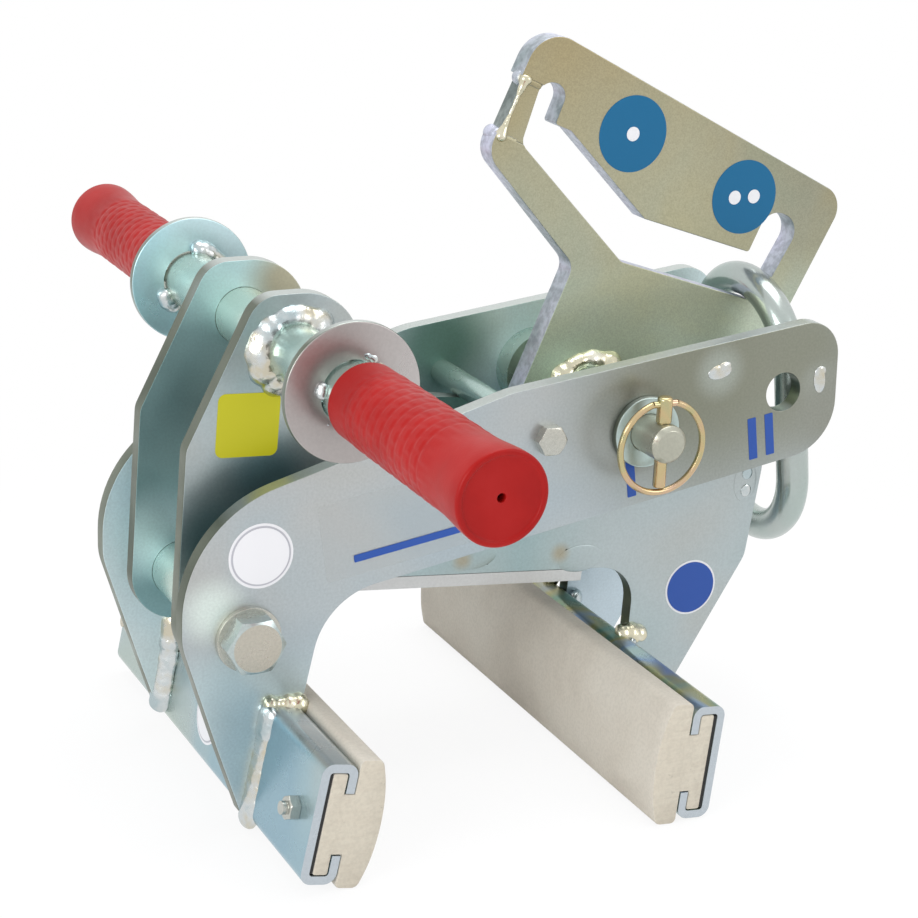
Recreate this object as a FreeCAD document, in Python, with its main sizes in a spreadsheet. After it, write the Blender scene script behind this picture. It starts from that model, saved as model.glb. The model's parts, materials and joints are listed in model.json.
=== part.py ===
"""Self-clamping stone lifting tongs: two nested arms on one pivot bolt.

The inner frame carries the cross handle and the right jaw, and the lifting arm
carries the left jaw and the suspension. A pull on the suspension swings the
lifting arm up, and its jaw presses the stone against the other one.

Frame: X runs from the left jaw to the right jaw, Y along the handle and the jaws
with the middle plane at zero, Z up from the floor that both jaw pads stand on.
Lengths are millimetres.
"""
import FreeCAD, Part
import Sketcher
import math
import os

doc = FreeCAD.newDocument("lifting_tongs")
sheet = doc.addObject("Spreadsheet::Sheet", "Sizes")

# Driving dimensions, one cell each
SIZES = {
    # places of the main axes in the standing frame
    "pivot_x": -150.85, "pivot_z": 94.6,
    "handle_rise": 120.4, "handle_offset": 29.5,
    "arm_overhang": 65.0, "arm_rise": 86.5,
    "hole_pitch": 76.0, "hole_drop": 11.5,
    "stop_pitch": 50.5, "stop_lift": 1.4,
    # lifting arm side plates
    "arm_plate_thickness": 8.0, "arm_inner_half": 52.0,
    "arm_hollow_radius": 35.0, "arm_nose_radius": 26.0, "arm_top_radius": 18.0,
    "arm_crest_radius": 40.0, "arm_shoulder_radius": 58.0, "arm_eye_radius": 30.0,
    "arm_heel_radius": 20.0, "arm_tip_width": 2.0,
    # inner frame plates
    "frame_plate_thickness": 8.0, "frame_inner_half": 27.0,
    "frame_length": 206.0, "frame_overhang": 76.0,
    "frame_eye_radius": 25.0, "frame_hollow_radius": 20.0, "frame_end_radius": 14.0,
    "lever_head_radius": 26.0, "lever_left_radius": 15.0, "lever_right_radius": 28.0,
    "lever_root_radius": 40.0, "lever_kink_radius": 10.0, "leg_foot_width": 18.0,
    # pivot bolt, sleeve, washers and nut
    "pivot_bolt_dia": 16.0, "pivot_head_flats": 24.0, "pivot_head_height": 10.0,
    "pivot_nut_height": 13.0, "pivot_end_length": 6.0, "pivot_sleeve_dia": 28.0,
    "washer_dia": 30.0, "washer_thickness": 3.0,
    "running_gap": 0.05, "seat_gap": 0.05, "side_gap": 0.3,
    # stop rod and its screws
    "stop_rod_dia": 12.0, "stop_screw_dia": 8.0, "stop_screw_flats": 13.0,
    "stop_screw_head": 5.3, "stop_screw_depth": 16.0, "stop_rest_gap": 0.3,
    # handle tube, hand guards and grips
    "handle_dia": 27.0, "handle_wall": 3.0, "handle_half": 228.0,
    "guard_dia": 63.0, "guard_thickness": 5.0, "guard_gap": 7.0,
    "grip_length": 127.0, "grip_end_wall": 6.0, "grip_dia": 34.0, "grip_flare_dia": 40.0,
    "grip_flare_length": 16.0, "grip_collar_length": 7.0, "grip_collar_dia": 37.0,
    "grip_vent_dia": 4.0, "grip_edge_radius": 2.5,
    # rest plate and tie bars of the inner frame
    "rest_thickness": 6.0, "rest_length": 126.0,
    "tie_thickness": 6.0, "tie_length": 96.0, "tie_drop": 4.2, "tab_length": 16.0,
    "end_tie_width": 8.0, "end_tie_height": 16.0,
    # jaws: channel, rubber pad and screws
    "jaw_length": 250.0, "channel_height": 56.0, "channel_depth": 17.0,
    "channel_wall": 4.0, "channel_lip": 13.5, "channel_bend": 5.5,
    "pad_overhang": 2.0, "pad_depth": 34.0, "pad_edge_depth": 28.0, "pad_gap": 0.3,
    "pad_crown_radius": 78.0, "pad_corner_radius": 2.5, "pad_root_radius": 1.5,
    "left_lean_angle": 10.8, "right_lean_angle": 5.3,
    "left_jaw_setback": 0.5, "right_jaw_inset": 1.5,
    "jaw_screw_dia": 6.0, "jaw_nut_flats": 10.0, "jaw_nut_height": 5.0,
    "jaw_screw_place": 108.0, "jaw_screw_depth": 12.0, "jaw_screw_end": 2.5,
    # suspension plate, hub and bridge
    "plate_thickness": 12.0, "plate_width": 202.0, "plate_height": 180.0,
    "plate_top_radius": 16.0, "plate_corner_radius": 12.0, "plate_neck_radius": 8.0,
    "plate_foot_radius": 18.0, "toe_length": 10.5, "toe_root": 8.7, "toe_height": 14.7,
    "toe_radius": 4.0, "toe_gap": 0.3,
    "slot_radius": 6.0, "slot_seat_radius": 3.0, "slot_lip_radius": 1.5,
    "left_hook_radius": 6.6, "right_hook_radius": 9.6,
    "hub_dia": 34.0, "hub_half": 26.5, "hub_bead_leg": 5.0,
    "bridge_length": 28.0, "bridge_thickness": 10.0, "bridge_inset": 2.5, "bridge_reach": 19.0,
    # lifting ring
    "ring_bar_dia": 16.0, "ring_inner_width": 60.0, "ring_inner_length": 114.5,
    "ring_seat_gap": 0.9, "ring_tilt_angle": 7.5,
    # suspension pin, bosses and linch pin
    "pin_dia": 18.0, "second_hole_dia": 19.0, "boss_dia": 40.0, "boss_height": 12.0,
    "pin_head_dia": 28.0, "pin_head_height": 6.0, "pin_front_length": 24.0,
    "pin_chamfer": 2.0, "pin_washer_dia": 34.0, "pin_washer_thickness": 3.0,
    "linch_dia": 6.0, "linch_place": 16.0, "linch_end_gap": 0.7,
    "linch_head_dia": 9.0, "linch_head_height": 12.0, "linch_head_gap": 0.3,
    "linch_ring_dia": 47.0, "linch_wire_dia": 3.6, "linch_stub_depth": 3.0,
    # weld beads and cut overrun
    "bead_leg": 7.0, "handle_bead_leg": 6.0, "cut_overrun": 2.0,
}

for row, (alias, number) in enumerate(SIZES.items(), start=1):
    sheet.set("A%d" % row, alias)
    sheet.set("B%d" % row, str(number))
    sheet.setAlias("B%d" % row, alias)
doc.recompute()


class Value:
    """A size or place as a number and as the sheet formula that drives it."""

    def __init__(self, number, formula):
        self.number = float(number)
        self.formula = formula

    @staticmethod
    def of(item):
        return item if isinstance(item, Value) else Value(item, repr(float(item)))

    def combine(self, other, sign, number):
        return Value(number, "(%s %s %s)" % (self.formula, sign, other.formula))

    def __add__(self, other):
        other = Value.of(other)
        return self.combine(other, "+", self.number + other.number)

    def __sub__(self, other):
        other = Value.of(other)
        return self.combine(other, "-", self.number - other.number)

    def __mul__(self, other):
        other = Value.of(other)
        return self.combine(other, "*", self.number * other.number)

    def __truediv__(self, other):
        other = Value.of(other)
        return self.combine(other, "/", self.number / other.number)

    def __neg__(self):
        return Value(-self.number, "(-%s)" % self.formula)

    def __radd__(self, other):
        return Value.of(other) + self

    def __rsub__(self, other):
        return Value.of(other) - self

    def __rmul__(self, other):
        return Value.of(other) * self


def size(alias):
    """The named cell of the sheet."""
    return Value(sheet.get(alias), "Sizes." + alias)


def half(alias):
    """Half of the named cell, such as a radius from a diameter."""
    return size(alias) * 0.5


def cosine(angle):
    return Value(math.cos(math.radians(angle.number)), "cos(%s)" % angle.formula)


def sine(angle):
    return Value(math.sin(math.radians(angle.number)), "sin(%s)" % angle.formula)


def hypotenuse(run, rise):
    number = math.hypot(run.number, rise.number)
    text = "sqrt(%s * %s + %s * %s)" % (run.formula, run.formula, rise.formula, rise.formula)
    return Value(number, text)


def tangent(angle):
    return Value(math.tan(math.radians(angle.number)), "tan(%s)" % angle.formula)


ZERO = Value(0.0, "0")


def bind(item, **sizes):
    """Set properties of an object and keep each bound to its cells."""
    for name, value in sizes.items():
        value = Value.of(value)
        setattr(item, name, value.number)
        item.setExpression(name, value.formula)


def place(item, x=ZERO, y=ZERO, z=ZERO, turn=None):
    """Set an object's place, bound to the cells, and its turn."""
    item.Placement = FreeCAD.Placement(
        FreeCAD.Vector(x.number, y.number, z.number), turn or FreeCAD.Rotation()
    )
    for axis, value in (("x", x), ("y", y), ("z", z)):
        item.setExpression("Placement.Base." + axis, value.formula)


def leaning(angle):
    """The turn about Y that tips the top of a piece towards +X."""
    return FreeCAD.Rotation(FreeCAD.Vector(0, 1, 0), angle.number)


# Turns a primitive's own Z axis along -Y or +Y
TO_FRONT = FreeCAD.Rotation(FreeCAD.Vector(1, 0, 0), 90)
TO_REAR = FreeCAD.Rotation(FreeCAD.Vector(1, 0, 0), -90)


def origin_plane(body, role):
    return [item for item in body.Origin.OriginFeatures if item.Role == role][0]


def new_sketch(body, role, offset=None):
    """A sketch on one of the body's own planes, moved out along its normal."""
    sketch = body.newObject("Sketcher::SketchObject", body.Name + "_sketch")
    sketch.AttachmentSupport = [(origin_plane(body, role), "")]
    sketch.MapMode = "FlatFace"
    if offset is not None:
        sketch.AttachmentOffset = FreeCAD.Placement(
            FreeCAD.Vector(0, 0, offset.number), FreeCAD.Rotation()
        )
        sketch.setExpression("AttachmentOffset.Base.z", offset.formula)
    return sketch


def pin_point(sketch, geometry, point, x, y):
    """Hold a point of the sketch at a place given by the cells."""
    for kind, value in (("DistanceX", x), ("DistanceY", y)):
        index = sketch.addConstraint(
            Sketcher.Constraint(kind, -1, 1, geometry, point, value.number)
        )
        sketch.setExpression("Constraints[%d]" % index, value.formula)


def draw_circle(sketch, x, y, radius):
    """A hole or disc of the sketch."""
    centre = FreeCAD.Vector(x.number, y.number, 0)
    circle = sketch.addGeometry(
        Part.Circle(centre, FreeCAD.Vector(0, 0, 1), radius.number), False
    )
    pin_point(sketch, circle, 3, x, y)
    index = sketch.addConstraint(Sketcher.Constraint("Radius", circle, radius.number))
    sketch.setExpression("Constraints[%d]" % index, radius.formula)


def draw_outline(sketch, corners):
    """A closed outline through corners (x, y, radius), rounded where a radius is given."""
    count = len(corners)
    points = [FreeCAD.Vector(x.number, y.number, 0) for x, y, _ in corners]
    starts, ends, arcs = [], [], []
    for i, (_, _, radius) in enumerate(corners):
        if radius is None:
            starts.append(points[i])
            ends.append(points[i])
            arcs.append(None)
            continue
        back = (points[i - 1] - points[i]).normalize()
        ahead = (points[(i + 1) % count] - points[i]).normalize()
        opening = back.getAngle(ahead)
        reach = radius.number / math.tan(opening / 2)
        bisector = (back + ahead).normalize()
        centre = points[i] + bisector * (radius.number / math.sin(opening / 2))
        middle = centre - bisector * radius.number
        first = points[i] + back * reach
        last = points[i] + ahead * reach
        starts.append(first)
        ends.append(last)
        arcs.append(Part.Arc(first, middle, last))
    lines = []
    for i in range(count):
        lines.append(
            sketch.addGeometry(Part.LineSegment(ends[i], starts[(i + 1) % count]), False)
        )
    for i, (x, y, radius) in enumerate(corners):
        before, after = lines[i - 1], lines[i]
        if radius is None:
            sketch.addConstraint(Sketcher.Constraint("Coincident", before, 2, after, 1))
            pin_point(sketch, after, 1, x, y)
            continue
        arc = sketch.addGeometry(arcs[i], False)
        begins = sketch.getPoint(arc, 1).distanceToPoint(starts[i])
        finishes = sketch.getPoint(arc, 2).distanceToPoint(starts[i])
        near, far = (1, 2) if begins < finishes else (2, 1)
        point = sketch.addGeometry(Part.Point(points[i]), True)
        pin_point(sketch, point, 1, x, y)
        sketch.addConstraint(Sketcher.Constraint("PointOnObject", point, 1, before))
        sketch.addConstraint(Sketcher.Constraint("PointOnObject", point, 1, after))
        sketch.addConstraint(Sketcher.Constraint("Tangent", before, 2, arc, near))
        sketch.addConstraint(Sketcher.Constraint("Tangent", after, 1, arc, far))
        index = sketch.addConstraint(Sketcher.Constraint("Radius", arc, radius.number))
        sketch.setExpression("Constraints[%d]" % index, radius.formula)


def padded_body(label, corners, length, offset=None, holes=(), role="XZ_Plane"):
    """A plate or bar: an outline with holes, padded along the plane's normal."""
    body = doc.addObject("PartDesign::Body", label)
    sketch = new_sketch(body, role, offset)
    draw_outline(sketch, corners)
    for x, y, radius in holes:
        draw_circle(sketch, x, y, radius)
    pad = body.newObject("PartDesign::Pad", label + "_pad")
    pad.Profile = sketch
    bind(pad, Length=length)
    return body


def turned_body(label, corners):
    """A turned piece: a profile of (radius, place along Y) spun round the Y axis."""
    body = doc.addObject("PartDesign::Body", label)
    sketch = new_sketch(body, "XY_Plane")
    draw_outline(sketch, corners)
    spin = body.newObject("PartDesign::Revolution", label + "_spin")
    spin.Profile = sketch
    spin.ReferenceAxis = (sketch, ["V_Axis"])
    spin.Angle = 360
    return body


def tube_profile(inner, outer, low, high):
    return [(inner, low, None), (outer, low, None), (outer, high, None), (inner, high, None)]


def rod_profile(radius, low, high):
    return tube_profile(ZERO, radius, low, high)


def cylinder(name, radius, length, x, y, z, turn):
    item = doc.addObject("Part::Cylinder", name)
    bind(item, Radius=radius, Height=length)
    place(item, x, y, z, turn)
    return item


def box(name, length, width, height, x, y, z, turn=None):
    item = doc.addObject("Part::Box", name)
    bind(item, Length=length, Width=width, Height=height)
    place(item, x, y, z, turn)
    return item


def joined(label, pieces):
    """One solid made of pieces that run into each other."""
    item = doc.addObject("Part::MultiFuse", label)
    item.Shapes = pieces
    item.Refine = True
    return item


def grouped(label, pieces):
    """One node that holds several separate solids."""
    item = doc.addObject("Part::Compound", label)
    item.Links = pieces
    return item


def cut(label, base, tool):
    item = doc.addObject("Part::Cut", label)
    item.Base = base
    item.Tool = tool
    return item


def common(label, base, tool):
    item = doc.addObject("Part::Common", label)
    item.Base = base
    item.Tool = tool
    return item


CHAMFER_CIRCLE_SHARE = 0.95
CORNER_SHARE = 1.0 / math.sqrt(3.0)
CHAMFER_RUN_SHARE = math.sqrt(3.0)


def hexagon(name, flats, height, x, y, z, turn):
    """A hexagon head or nut whose outer face is chamfered at thirty degrees."""
    prism = doc.addObject("Part::Prism", name + "_prism")
    prism.Polygon = 6
    bind(prism, Circumradius=flats * CORNER_SHARE, Height=height)
    place(prism, x, y, z, turn)
    cone = doc.addObject("Part::Cone", name + "_cone")
    top = flats * (0.5 * CHAMFER_CIRCLE_SHARE)
    bind(cone, Radius1=top + height * CHAMFER_RUN_SHARE, Radius2=top, Height=height)
    place(cone, x, y, z, turn)
    return common(name, prism, cone)


# Planes across the object: outer and inner faces of both arms
frame_inner = size("frame_inner_half")
frame_outer = frame_inner + size("frame_plate_thickness")
arm_inner = size("arm_inner_half")
arm_outer = arm_inner + size("arm_plate_thickness")

# Main axes, all along Y
pivot = (size("pivot_x"), size("pivot_z"))
handle = (pivot[0] + size("handle_offset"), pivot[1] + size("handle_rise"))
arm_length = size("frame_length") + size("arm_overhang")
second_hole = (pivot[0] + arm_length, pivot[1] + size("arm_rise"))
pin = (second_hole[0] - size("hole_pitch"), second_hole[1] - size("hole_drop"))
stop = (pin[0] - size("stop_pitch"), pin[1] + size("stop_lift"))


# Jaw frames: u runs from the channel's back face towards the stone, v up along that face.
# The heights put the lowest point of each pad's rounded edge on the floor.
left_lean = size("left_lean_angle")
right_lean = size("right_lean_angle")
PAD_CROWN_SHARE = 1.6
pad_overhang = size("pad_overhang")
pad_round = size("pad_corner_radius")
crown_rise = (size("pad_depth") - size("pad_edge_depth")) * PAD_CROWN_SHARE
crown_run = half("channel_height") + pad_overhang
crown_reach = pad_round * crown_run / (hypotenuse(crown_run, crown_rise) + crown_rise)
left_jaw_z = (
    pad_round
    + (size("pad_edge_depth") - crown_reach) * sine(left_lean)
    - (pad_round - pad_overhang) * cosine(left_lean)
)
right_jaw_z = (
    pad_round
    - (size("channel_depth") + size("pad_gap") + pad_round) * sine(right_lean)
    - (pad_round - pad_overhang) * cosine(right_lean)
)
left_jaw_x = pivot[0] - size("left_jaw_setback")
right_jaw_x = pivot[0] + size("frame_length") - size("right_jaw_inset")


def left_jaw_point(u, v):
    x = left_jaw_x + u * cosine(left_lean) + v * sine(left_lean)
    z = left_jaw_z - u * sine(left_lean) + v * cosine(left_lean)
    return x, z


def right_jaw_point(u, v):
    x = right_jaw_x - u * cosine(right_lean) + v * sine(right_lean)
    z = right_jaw_z + u * sine(right_lean) + v * cosine(right_lean)
    return x, z


# Lifting arm side plates: corners from the pivot, as shares of the arm's length and rise
ARM_SHARES = {
    "hollow": (0.137, 0.150),
    "nose": (1.118, 0.6575),
    "top": (1.107, 1.410),
    "crest": (0.463, 1.156),
    "shoulder": (-0.111, 0.642),
    "eye": (-0.111, 0.0),
    "heel": (-0.048, -0.614),
}
ARM_RADII = {
    "hollow": "arm_hollow_radius",
    "nose": "arm_nose_radius",
    "top": "arm_top_radius",
    "crest": "arm_crest_radius",
    "shoulder": "arm_shoulder_radius",
    "eye": "arm_eye_radius",
    "heel": "arm_heel_radius",
}


def arm_outline():
    """The side plate: it stands on the left jaw's top flange and along its back."""
    tip = left_jaw_point(-size("seat_gap"), size("arm_tip_width"))
    tip_left = left_jaw_point(-size("seat_gap") - size("arm_tip_width"), size("arm_tip_width"))
    back_top = left_jaw_point(-size("seat_gap"), size("channel_height") + size("seat_gap"))
    flange_end = left_jaw_point(size("channel_depth"), size("channel_height") + size("seat_gap"))
    corners = [tip_left + (None,), tip + (None,), back_top + (None,), flange_end + (None,)]
    for name, (x_share, z_share) in ARM_SHARES.items():
        x = pivot[0] + arm_length * x_share
        z = pivot[1] + size("arm_rise") * z_share
        corners.append((x, z, size(ARM_RADII[name])))
    return corners


arm_holes = [
    pivot + (half("pivot_bolt_dia") + size("seat_gap"),),
    stop + (half("stop_screw_dia") + size("seat_gap"),),
    pin + (half("pin_dia") + size("running_gap"),),
    second_hole + (half("second_hole_dia"),),
]
arm_thickness = size("arm_plate_thickness")
side_plate_front = padded_body(
    "side_plate_front", arm_outline(), arm_thickness, arm_inner, arm_holes
)
side_plate_rear = padded_body(
    "side_plate_rear", arm_outline(), arm_thickness, -arm_outer, arm_holes
)


# Inner frame plates: lever up to the handle, beam under the stop rod, leg down to the right jaw.
# Places along the beam are shares of its length, and those past the right jaw of its overhang.
FRAME_TOP_SLOPE_SHARE = -0.1336
BEAM_SHARES = {"lever_root": 0.316, "arch_left": 0.187, "tie_start": 0.499, "rest_start": 0.272}
END_SHARES = {"leg_kink": (0.903, -0.087), "arch_right": (0.065, -0.054), "end_tie": (0.803, 0.328)}
LEVER_KINK_SHARES = (-0.79, 0.664)
LEVER_LEFT_SHARE = 0.64
LEVER_RIGHT_SHARE = 1.1
EYE_ROUND_SHARE = 0.95
beam_end_x = pivot[0] + size("frame_length") + size("frame_overhang")


def beam_x(name):
    """Place along the beam, from the pivot."""
    return pivot[0] + size("frame_length") * BEAM_SHARES[name]


def end_point(name):
    """Place at the beam's right end, from a point level with the pivot."""
    x_share, z_share = END_SHARES[name]
    x = pivot[0] + size("frame_length") + size("frame_overhang") * x_share
    return x, pivot[1] + size("frame_overhang") * z_share


def beam_top(x):
    """Height of the beam's top edge, which runs just under the stop rod."""
    slope_length = math.sqrt(1.0 + FRAME_TOP_SLOPE_SHARE ** 2)
    under_rod = stop[1] - (half("stop_rod_dia") + size("stop_rest_gap")) * slope_length
    return under_rod + (x - stop[0]) * FRAME_TOP_SLOPE_SHARE


def beam_bottom(x):
    """Height of the beam's lower edge, square to the right jaw."""
    arch = end_point("arch_right")
    return arch[1] + (arch[0] - x) * tangent(right_lean)


def frame_outline():
    head = size("lever_head_radius")
    eye = size("frame_eye_radius")
    root_x = beam_x("lever_root")
    arch_x = beam_x("arch_left")
    kink_x = pivot[0] + eye * LEVER_KINK_SHARES[0]
    kink_z = pivot[1] + size("handle_rise") * LEVER_KINK_SHARES[1]
    foot = size("leg_foot_width")
    lift = size("arm_tip_width")
    back = -size("seat_gap")
    return [
        (kink_x, kink_z, size("lever_kink_radius")),
        (handle[0] - head * LEVER_LEFT_SHARE, handle[1] + head, size("lever_left_radius")),
        (handle[0] + head * LEVER_RIGHT_SHARE, handle[1] + head, size("lever_right_radius")),
        (root_x, beam_top(root_x), size("lever_root_radius")),
        (beam_end_x, beam_top(beam_end_x), size("frame_end_radius")),
        end_point("leg_kink") + (size("frame_end_radius"),),
        right_jaw_point(back - foot, lift) + (None,),
        right_jaw_point(back, lift) + (None,),
        right_jaw_point(back, size("channel_height")) + (None,),
        end_point("arch_right") + (size("frame_hollow_radius"),),
        (arch_x, beam_bottom(arch_x), size("frame_hollow_radius")),
        (pivot[0] + eye, pivot[1] - eye, eye * EYE_ROUND_SHARE),
        (pivot[0] - eye, pivot[1] - eye, eye * EYE_ROUND_SHARE),
    ]


frame_holes = [
    pivot + (half("pivot_sleeve_dia") + size("seat_gap"),),
    handle + (half("handle_dia") + size("seat_gap"),),
]
frame_thickness = size("frame_plate_thickness")

# Tie bars between the inner plates: slots in the plates hold their tabs
TAB_PLACE_SHARES = (0.2, 0.8)
tie_angle = leaning(right_lean)
tie_x = beam_x("tie_start")
tie_z = beam_bottom(tie_x) + size("tie_drop")
tie_width = frame_inner * 2.0 - size("seat_gap") * 2.0
tab_width = frame_outer * 2.0
end_tie_x, end_tie_z = end_point("end_tie")


def tab_boxes(name, extra_width, extra):
    """Two tabs of the tie plate, through both inner plates, or the slots that take them."""
    boxes = []
    for number, share in enumerate(TAB_PLACE_SHARES):
        along = size("tie_length") * share - size("tab_length") * 0.5
        boxes.append(
            box(
                "%s_%d" % (name, number),
                size("tab_length") + extra * 2.0,
                tab_width + extra_width * 2.0,
                size("tie_thickness") + extra * 2.0,
                tie_x + (along - extra) * cosine(right_lean) - extra * sine(right_lean),
                -frame_outer - extra_width,
                tie_z - (along - extra) * sine(right_lean) - extra * cosine(right_lean),
                tie_angle,
            )
        )
    return boxes


def inner_plate(label, offset):
    blank = padded_body(label + "_blank", frame_outline(), frame_thickness, offset, frame_holes)
    slots = tab_boxes(label + "_slot", size("cut_overrun"), size("seat_gap"))
    slots.append(
        box(
            label + "_end_slot",
            size("end_tie_width") + size("seat_gap") * 2.0,
            tab_width + size("cut_overrun") * 2.0,
            size("end_tie_height") + size("seat_gap") * 2.0,
            end_tie_x - size("seat_gap"),
            -frame_outer - size("cut_overrun"),
            end_tie_z - size("seat_gap"),
        )
    )
    return cut(label, blank, grouped(label + "_slots", slots))


inner_plate_front = inner_plate("inner_plate_front", frame_inner)
inner_plate_rear = inner_plate("inner_plate_rear", -frame_outer)

tie_core = box(
    "tie_core", size("tie_length"), tie_width, size("tie_thickness"),
    tie_x, -tie_width * 0.5, tie_z, tie_angle,
)
tie_plate = joined("tie_plate", [tie_core] + tab_boxes("tie_tab", ZERO, ZERO))
end_tie = box(
    "end_tie", size("end_tie_width"), tab_width, size("end_tie_height"),
    end_tie_x, -frame_outer, end_tie_z,
)

# Stone rest plate: a flat bar welded under both inner plates
rest_x = beam_x("rest_start")
rest_drop = size("rest_thickness") + size("seat_gap")
rest_plate = box(
    "rest_plate", size("rest_length"), tab_width, size("rest_thickness"),
    rest_x - rest_drop * sine(right_lean), -frame_outer,
    beam_bottom(rest_x) - rest_drop * cosine(right_lean), tie_angle,
)

# Pivot: sleeve welded in the inner plates, bolt, washers and nut held by the side plates
sleeve_end = arm_inner - size("side_gap")
pivot_sleeve = turned_body(
    "pivot_sleeve",
    tube_profile(
        half("pivot_bolt_dia") + size("running_gap"), half("pivot_sleeve_dia"),
        -sleeve_end, sleeve_end,
    ),
)
place(pivot_sleeve, pivot[0], ZERO, pivot[1])
washer_out = arm_outer + size("washer_thickness")
pivot_head = hexagon(
    "pivot_head", size("pivot_head_flats"), size("pivot_head_height"),
    pivot[0], -washer_out, pivot[1], TO_FRONT,
)
nut_out = washer_out + size("pivot_nut_height")
pivot_shank = cylinder(
    "pivot_shank", half("pivot_bolt_dia"),
    washer_out + nut_out + size("pivot_end_length"),
    pivot[0], -washer_out, pivot[1], TO_REAR,
)
pivot_bolt = joined("pivot_bolt", [pivot_head, pivot_shank])
nut_blank = hexagon(
    "nut_blank", size("pivot_head_flats"), size("pivot_nut_height"),
    pivot[0], washer_out, pivot[1], TO_REAR,
)
nut_bore = cylinder(
    "nut_bore", half("pivot_bolt_dia") + size("seat_gap"),
    size("pivot_nut_height") + size("cut_overrun") * 2.0,
    pivot[0], washer_out - size("cut_overrun"), pivot[1], TO_REAR,
)
pivot_nut = cut("pivot_nut", nut_blank, nut_bore)


def washer_pair(label, axis, bore, outer, thickness):
    """Two washers, one against each side plate."""
    rings = []
    for side, low in (("front", -arm_outer - thickness), ("rear", arm_outer)):
        ring = turned_body(
            "%s_%s" % (label, side), tube_profile(bore, outer, low, low + thickness)
        )
        place(ring, axis[0], ZERO, axis[1])
        rings.append(ring)
    return grouped(label, rings)


pivot_washers = washer_pair(
    "pivot_washers", pivot, half("pivot_bolt_dia") + size("seat_gap"),
    half("washer_dia"), size("washer_thickness"),
)

# Stop rod between the side plates, screwed in from both ends
stop_half = arm_inner - size("seat_gap")
thread_radius = half("stop_screw_dia") + size("seat_gap")
thread_end = stop_half - size("stop_screw_depth")
stop_rod = turned_body(
    "stop_rod",
    [
        (ZERO, -thread_end, None), (thread_radius, -thread_end, None),
        (thread_radius, -stop_half, None), (half("stop_rod_dia"), -stop_half, None),
        (half("stop_rod_dia"), stop_half, None), (thread_radius, stop_half, None),
        (thread_radius, thread_end, None), (ZERO, thread_end, None),
    ],
)
place(stop_rod, stop[0], ZERO, stop[1])
stop_screws = []
for side, sign, turn in (("front", -1.0, TO_FRONT), ("rear", 1.0, TO_REAR)):
    head = hexagon(
        "stop_head_" + side, size("stop_screw_flats"), size("stop_screw_head"),
        stop[0], arm_outer * sign, stop[1], turn,
    )
    shank = cylinder(
        "stop_shank_" + side, half("stop_screw_dia"), arm_outer - thread_end - size("seat_gap"),
        stop[0], (thread_end + size("seat_gap")) * sign, stop[1], turn,
    )
    stop_screws.append(joined("stop_screw_" + side, [head, shank]))
grouped("stop_screws", stop_screws)

# Handle tube through both levers, with a hand guard and a rubber grip on each side
handle_radius = half("handle_dia")
handle_tube = turned_body(
    "handle_tube",
    tube_profile(
        handle_radius - size("handle_wall"), handle_radius,
        -size("handle_half"), size("handle_half"),
    ),
)
place(handle_tube, handle[0], ZERO, handle[1])


def hand_guard(label, low):
    guard = turned_body(
        label,
        tube_profile(
            handle_radius + size("seat_gap"), half("guard_dia"), low, low + size("guard_thickness")
        ),
    )
    place(guard, handle[0], ZERO, handle[1])
    return guard


grip_end = size("handle_half") + size("grip_end_wall")
grip_start = grip_end - size("grip_length")
guard_outer = grip_start - size("guard_gap")
hand_guard_front = hand_guard("hand_guard_front", -guard_outer)
hand_guard_rear = hand_guard("hand_guard_rear", guard_outer - size("guard_thickness"))


def rubber_grip(label, sign):
    """A moulded sleeve with a collar, a flared end and a vented end wall."""
    bore = handle_radius + size("seat_gap")
    start = grip_start * sign
    collar = (grip_start + size("grip_collar_length")) * sign
    flare = (grip_end - size("grip_flare_length")) * sign
    floor = (size("handle_half") + size("seat_gap")) * sign
    end = grip_end * sign
    edge = size("grip_edge_radius")
    grip = turned_body(
        label,
        [
            (bore, start, None), (half("grip_collar_dia"), start, edge),
            (half("grip_collar_dia"), collar, edge), (half("grip_dia"), collar + edge * sign, None),
            (half("grip_dia"), flare, edge), (half("grip_flare_dia"), end - (edge + edge) * sign, None),
            (half("grip_flare_dia"), end, edge), (half("grip_vent_dia"), end, None),
            (half("grip_vent_dia"), floor, None), (bore, floor, None),
        ],
    )
    place(grip, handle[0], ZERO, handle[1])
    return grip


grip_front = rubber_grip("grip_front", -1.0)
grip_rear = rubber_grip("grip_rear", 1.0)


# Jaws: a folded channel with lips, a rubber pad slid in, and two screws through the back
def channel_profile(sign):
    height = size("channel_height")
    depth = size("channel_depth")
    wall = size("channel_wall")
    lip = size("channel_lip")
    bend = size("channel_bend")
    inner_bend = bend - wall
    return [
        (ZERO, ZERO, bend), (depth * sign, ZERO, bend), (depth * sign, lip, None),
        ((depth - wall) * sign, lip, None), ((depth - wall) * sign, wall, inner_bend),
        (wall * sign, wall, inner_bend), (wall * sign, height - wall, inner_bend),
        ((depth - wall) * sign, height - wall, inner_bend),
        ((depth - wall) * sign, height - lip, None), (depth * sign, height - lip, None),
        (depth * sign, height, bend), (ZERO, height, bend),
    ]


def pad_profile(sign):
    """A T-shaped strip: a root inside the channel, a neck, and a crowned head outside."""
    gap = size("pad_gap")
    height = size("channel_height")
    wall = size("channel_wall")
    root_in = wall + gap
    root_out = size("channel_depth") - wall - gap
    face = size("channel_depth") + gap
    neck = size("channel_lip") + gap
    low = -pad_overhang
    high = height + pad_overhang
    edge = size("pad_edge_depth")
    crown = edge + crown_rise
    root = size("pad_root_radius")
    corner = pad_round
    return [
        (root_in * sign, root_in, root), (root_out * sign, root_in, root),
        (root_out * sign, neck, None), (face * sign, neck, None),
        (face * sign, low, corner), (edge * sign, low, corner),
        (crown * sign, height * 0.5, size("pad_crown_radius")),
        (edge * sign, high, corner), (face * sign, high, corner),
        (face * sign, height - neck, None), (root_out * sign, height - neck, None),
        (root_out * sign, height - root_in, root), (root_in * sign, height - root_in, root),
    ]


jaw_half = half("jaw_length")


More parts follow.
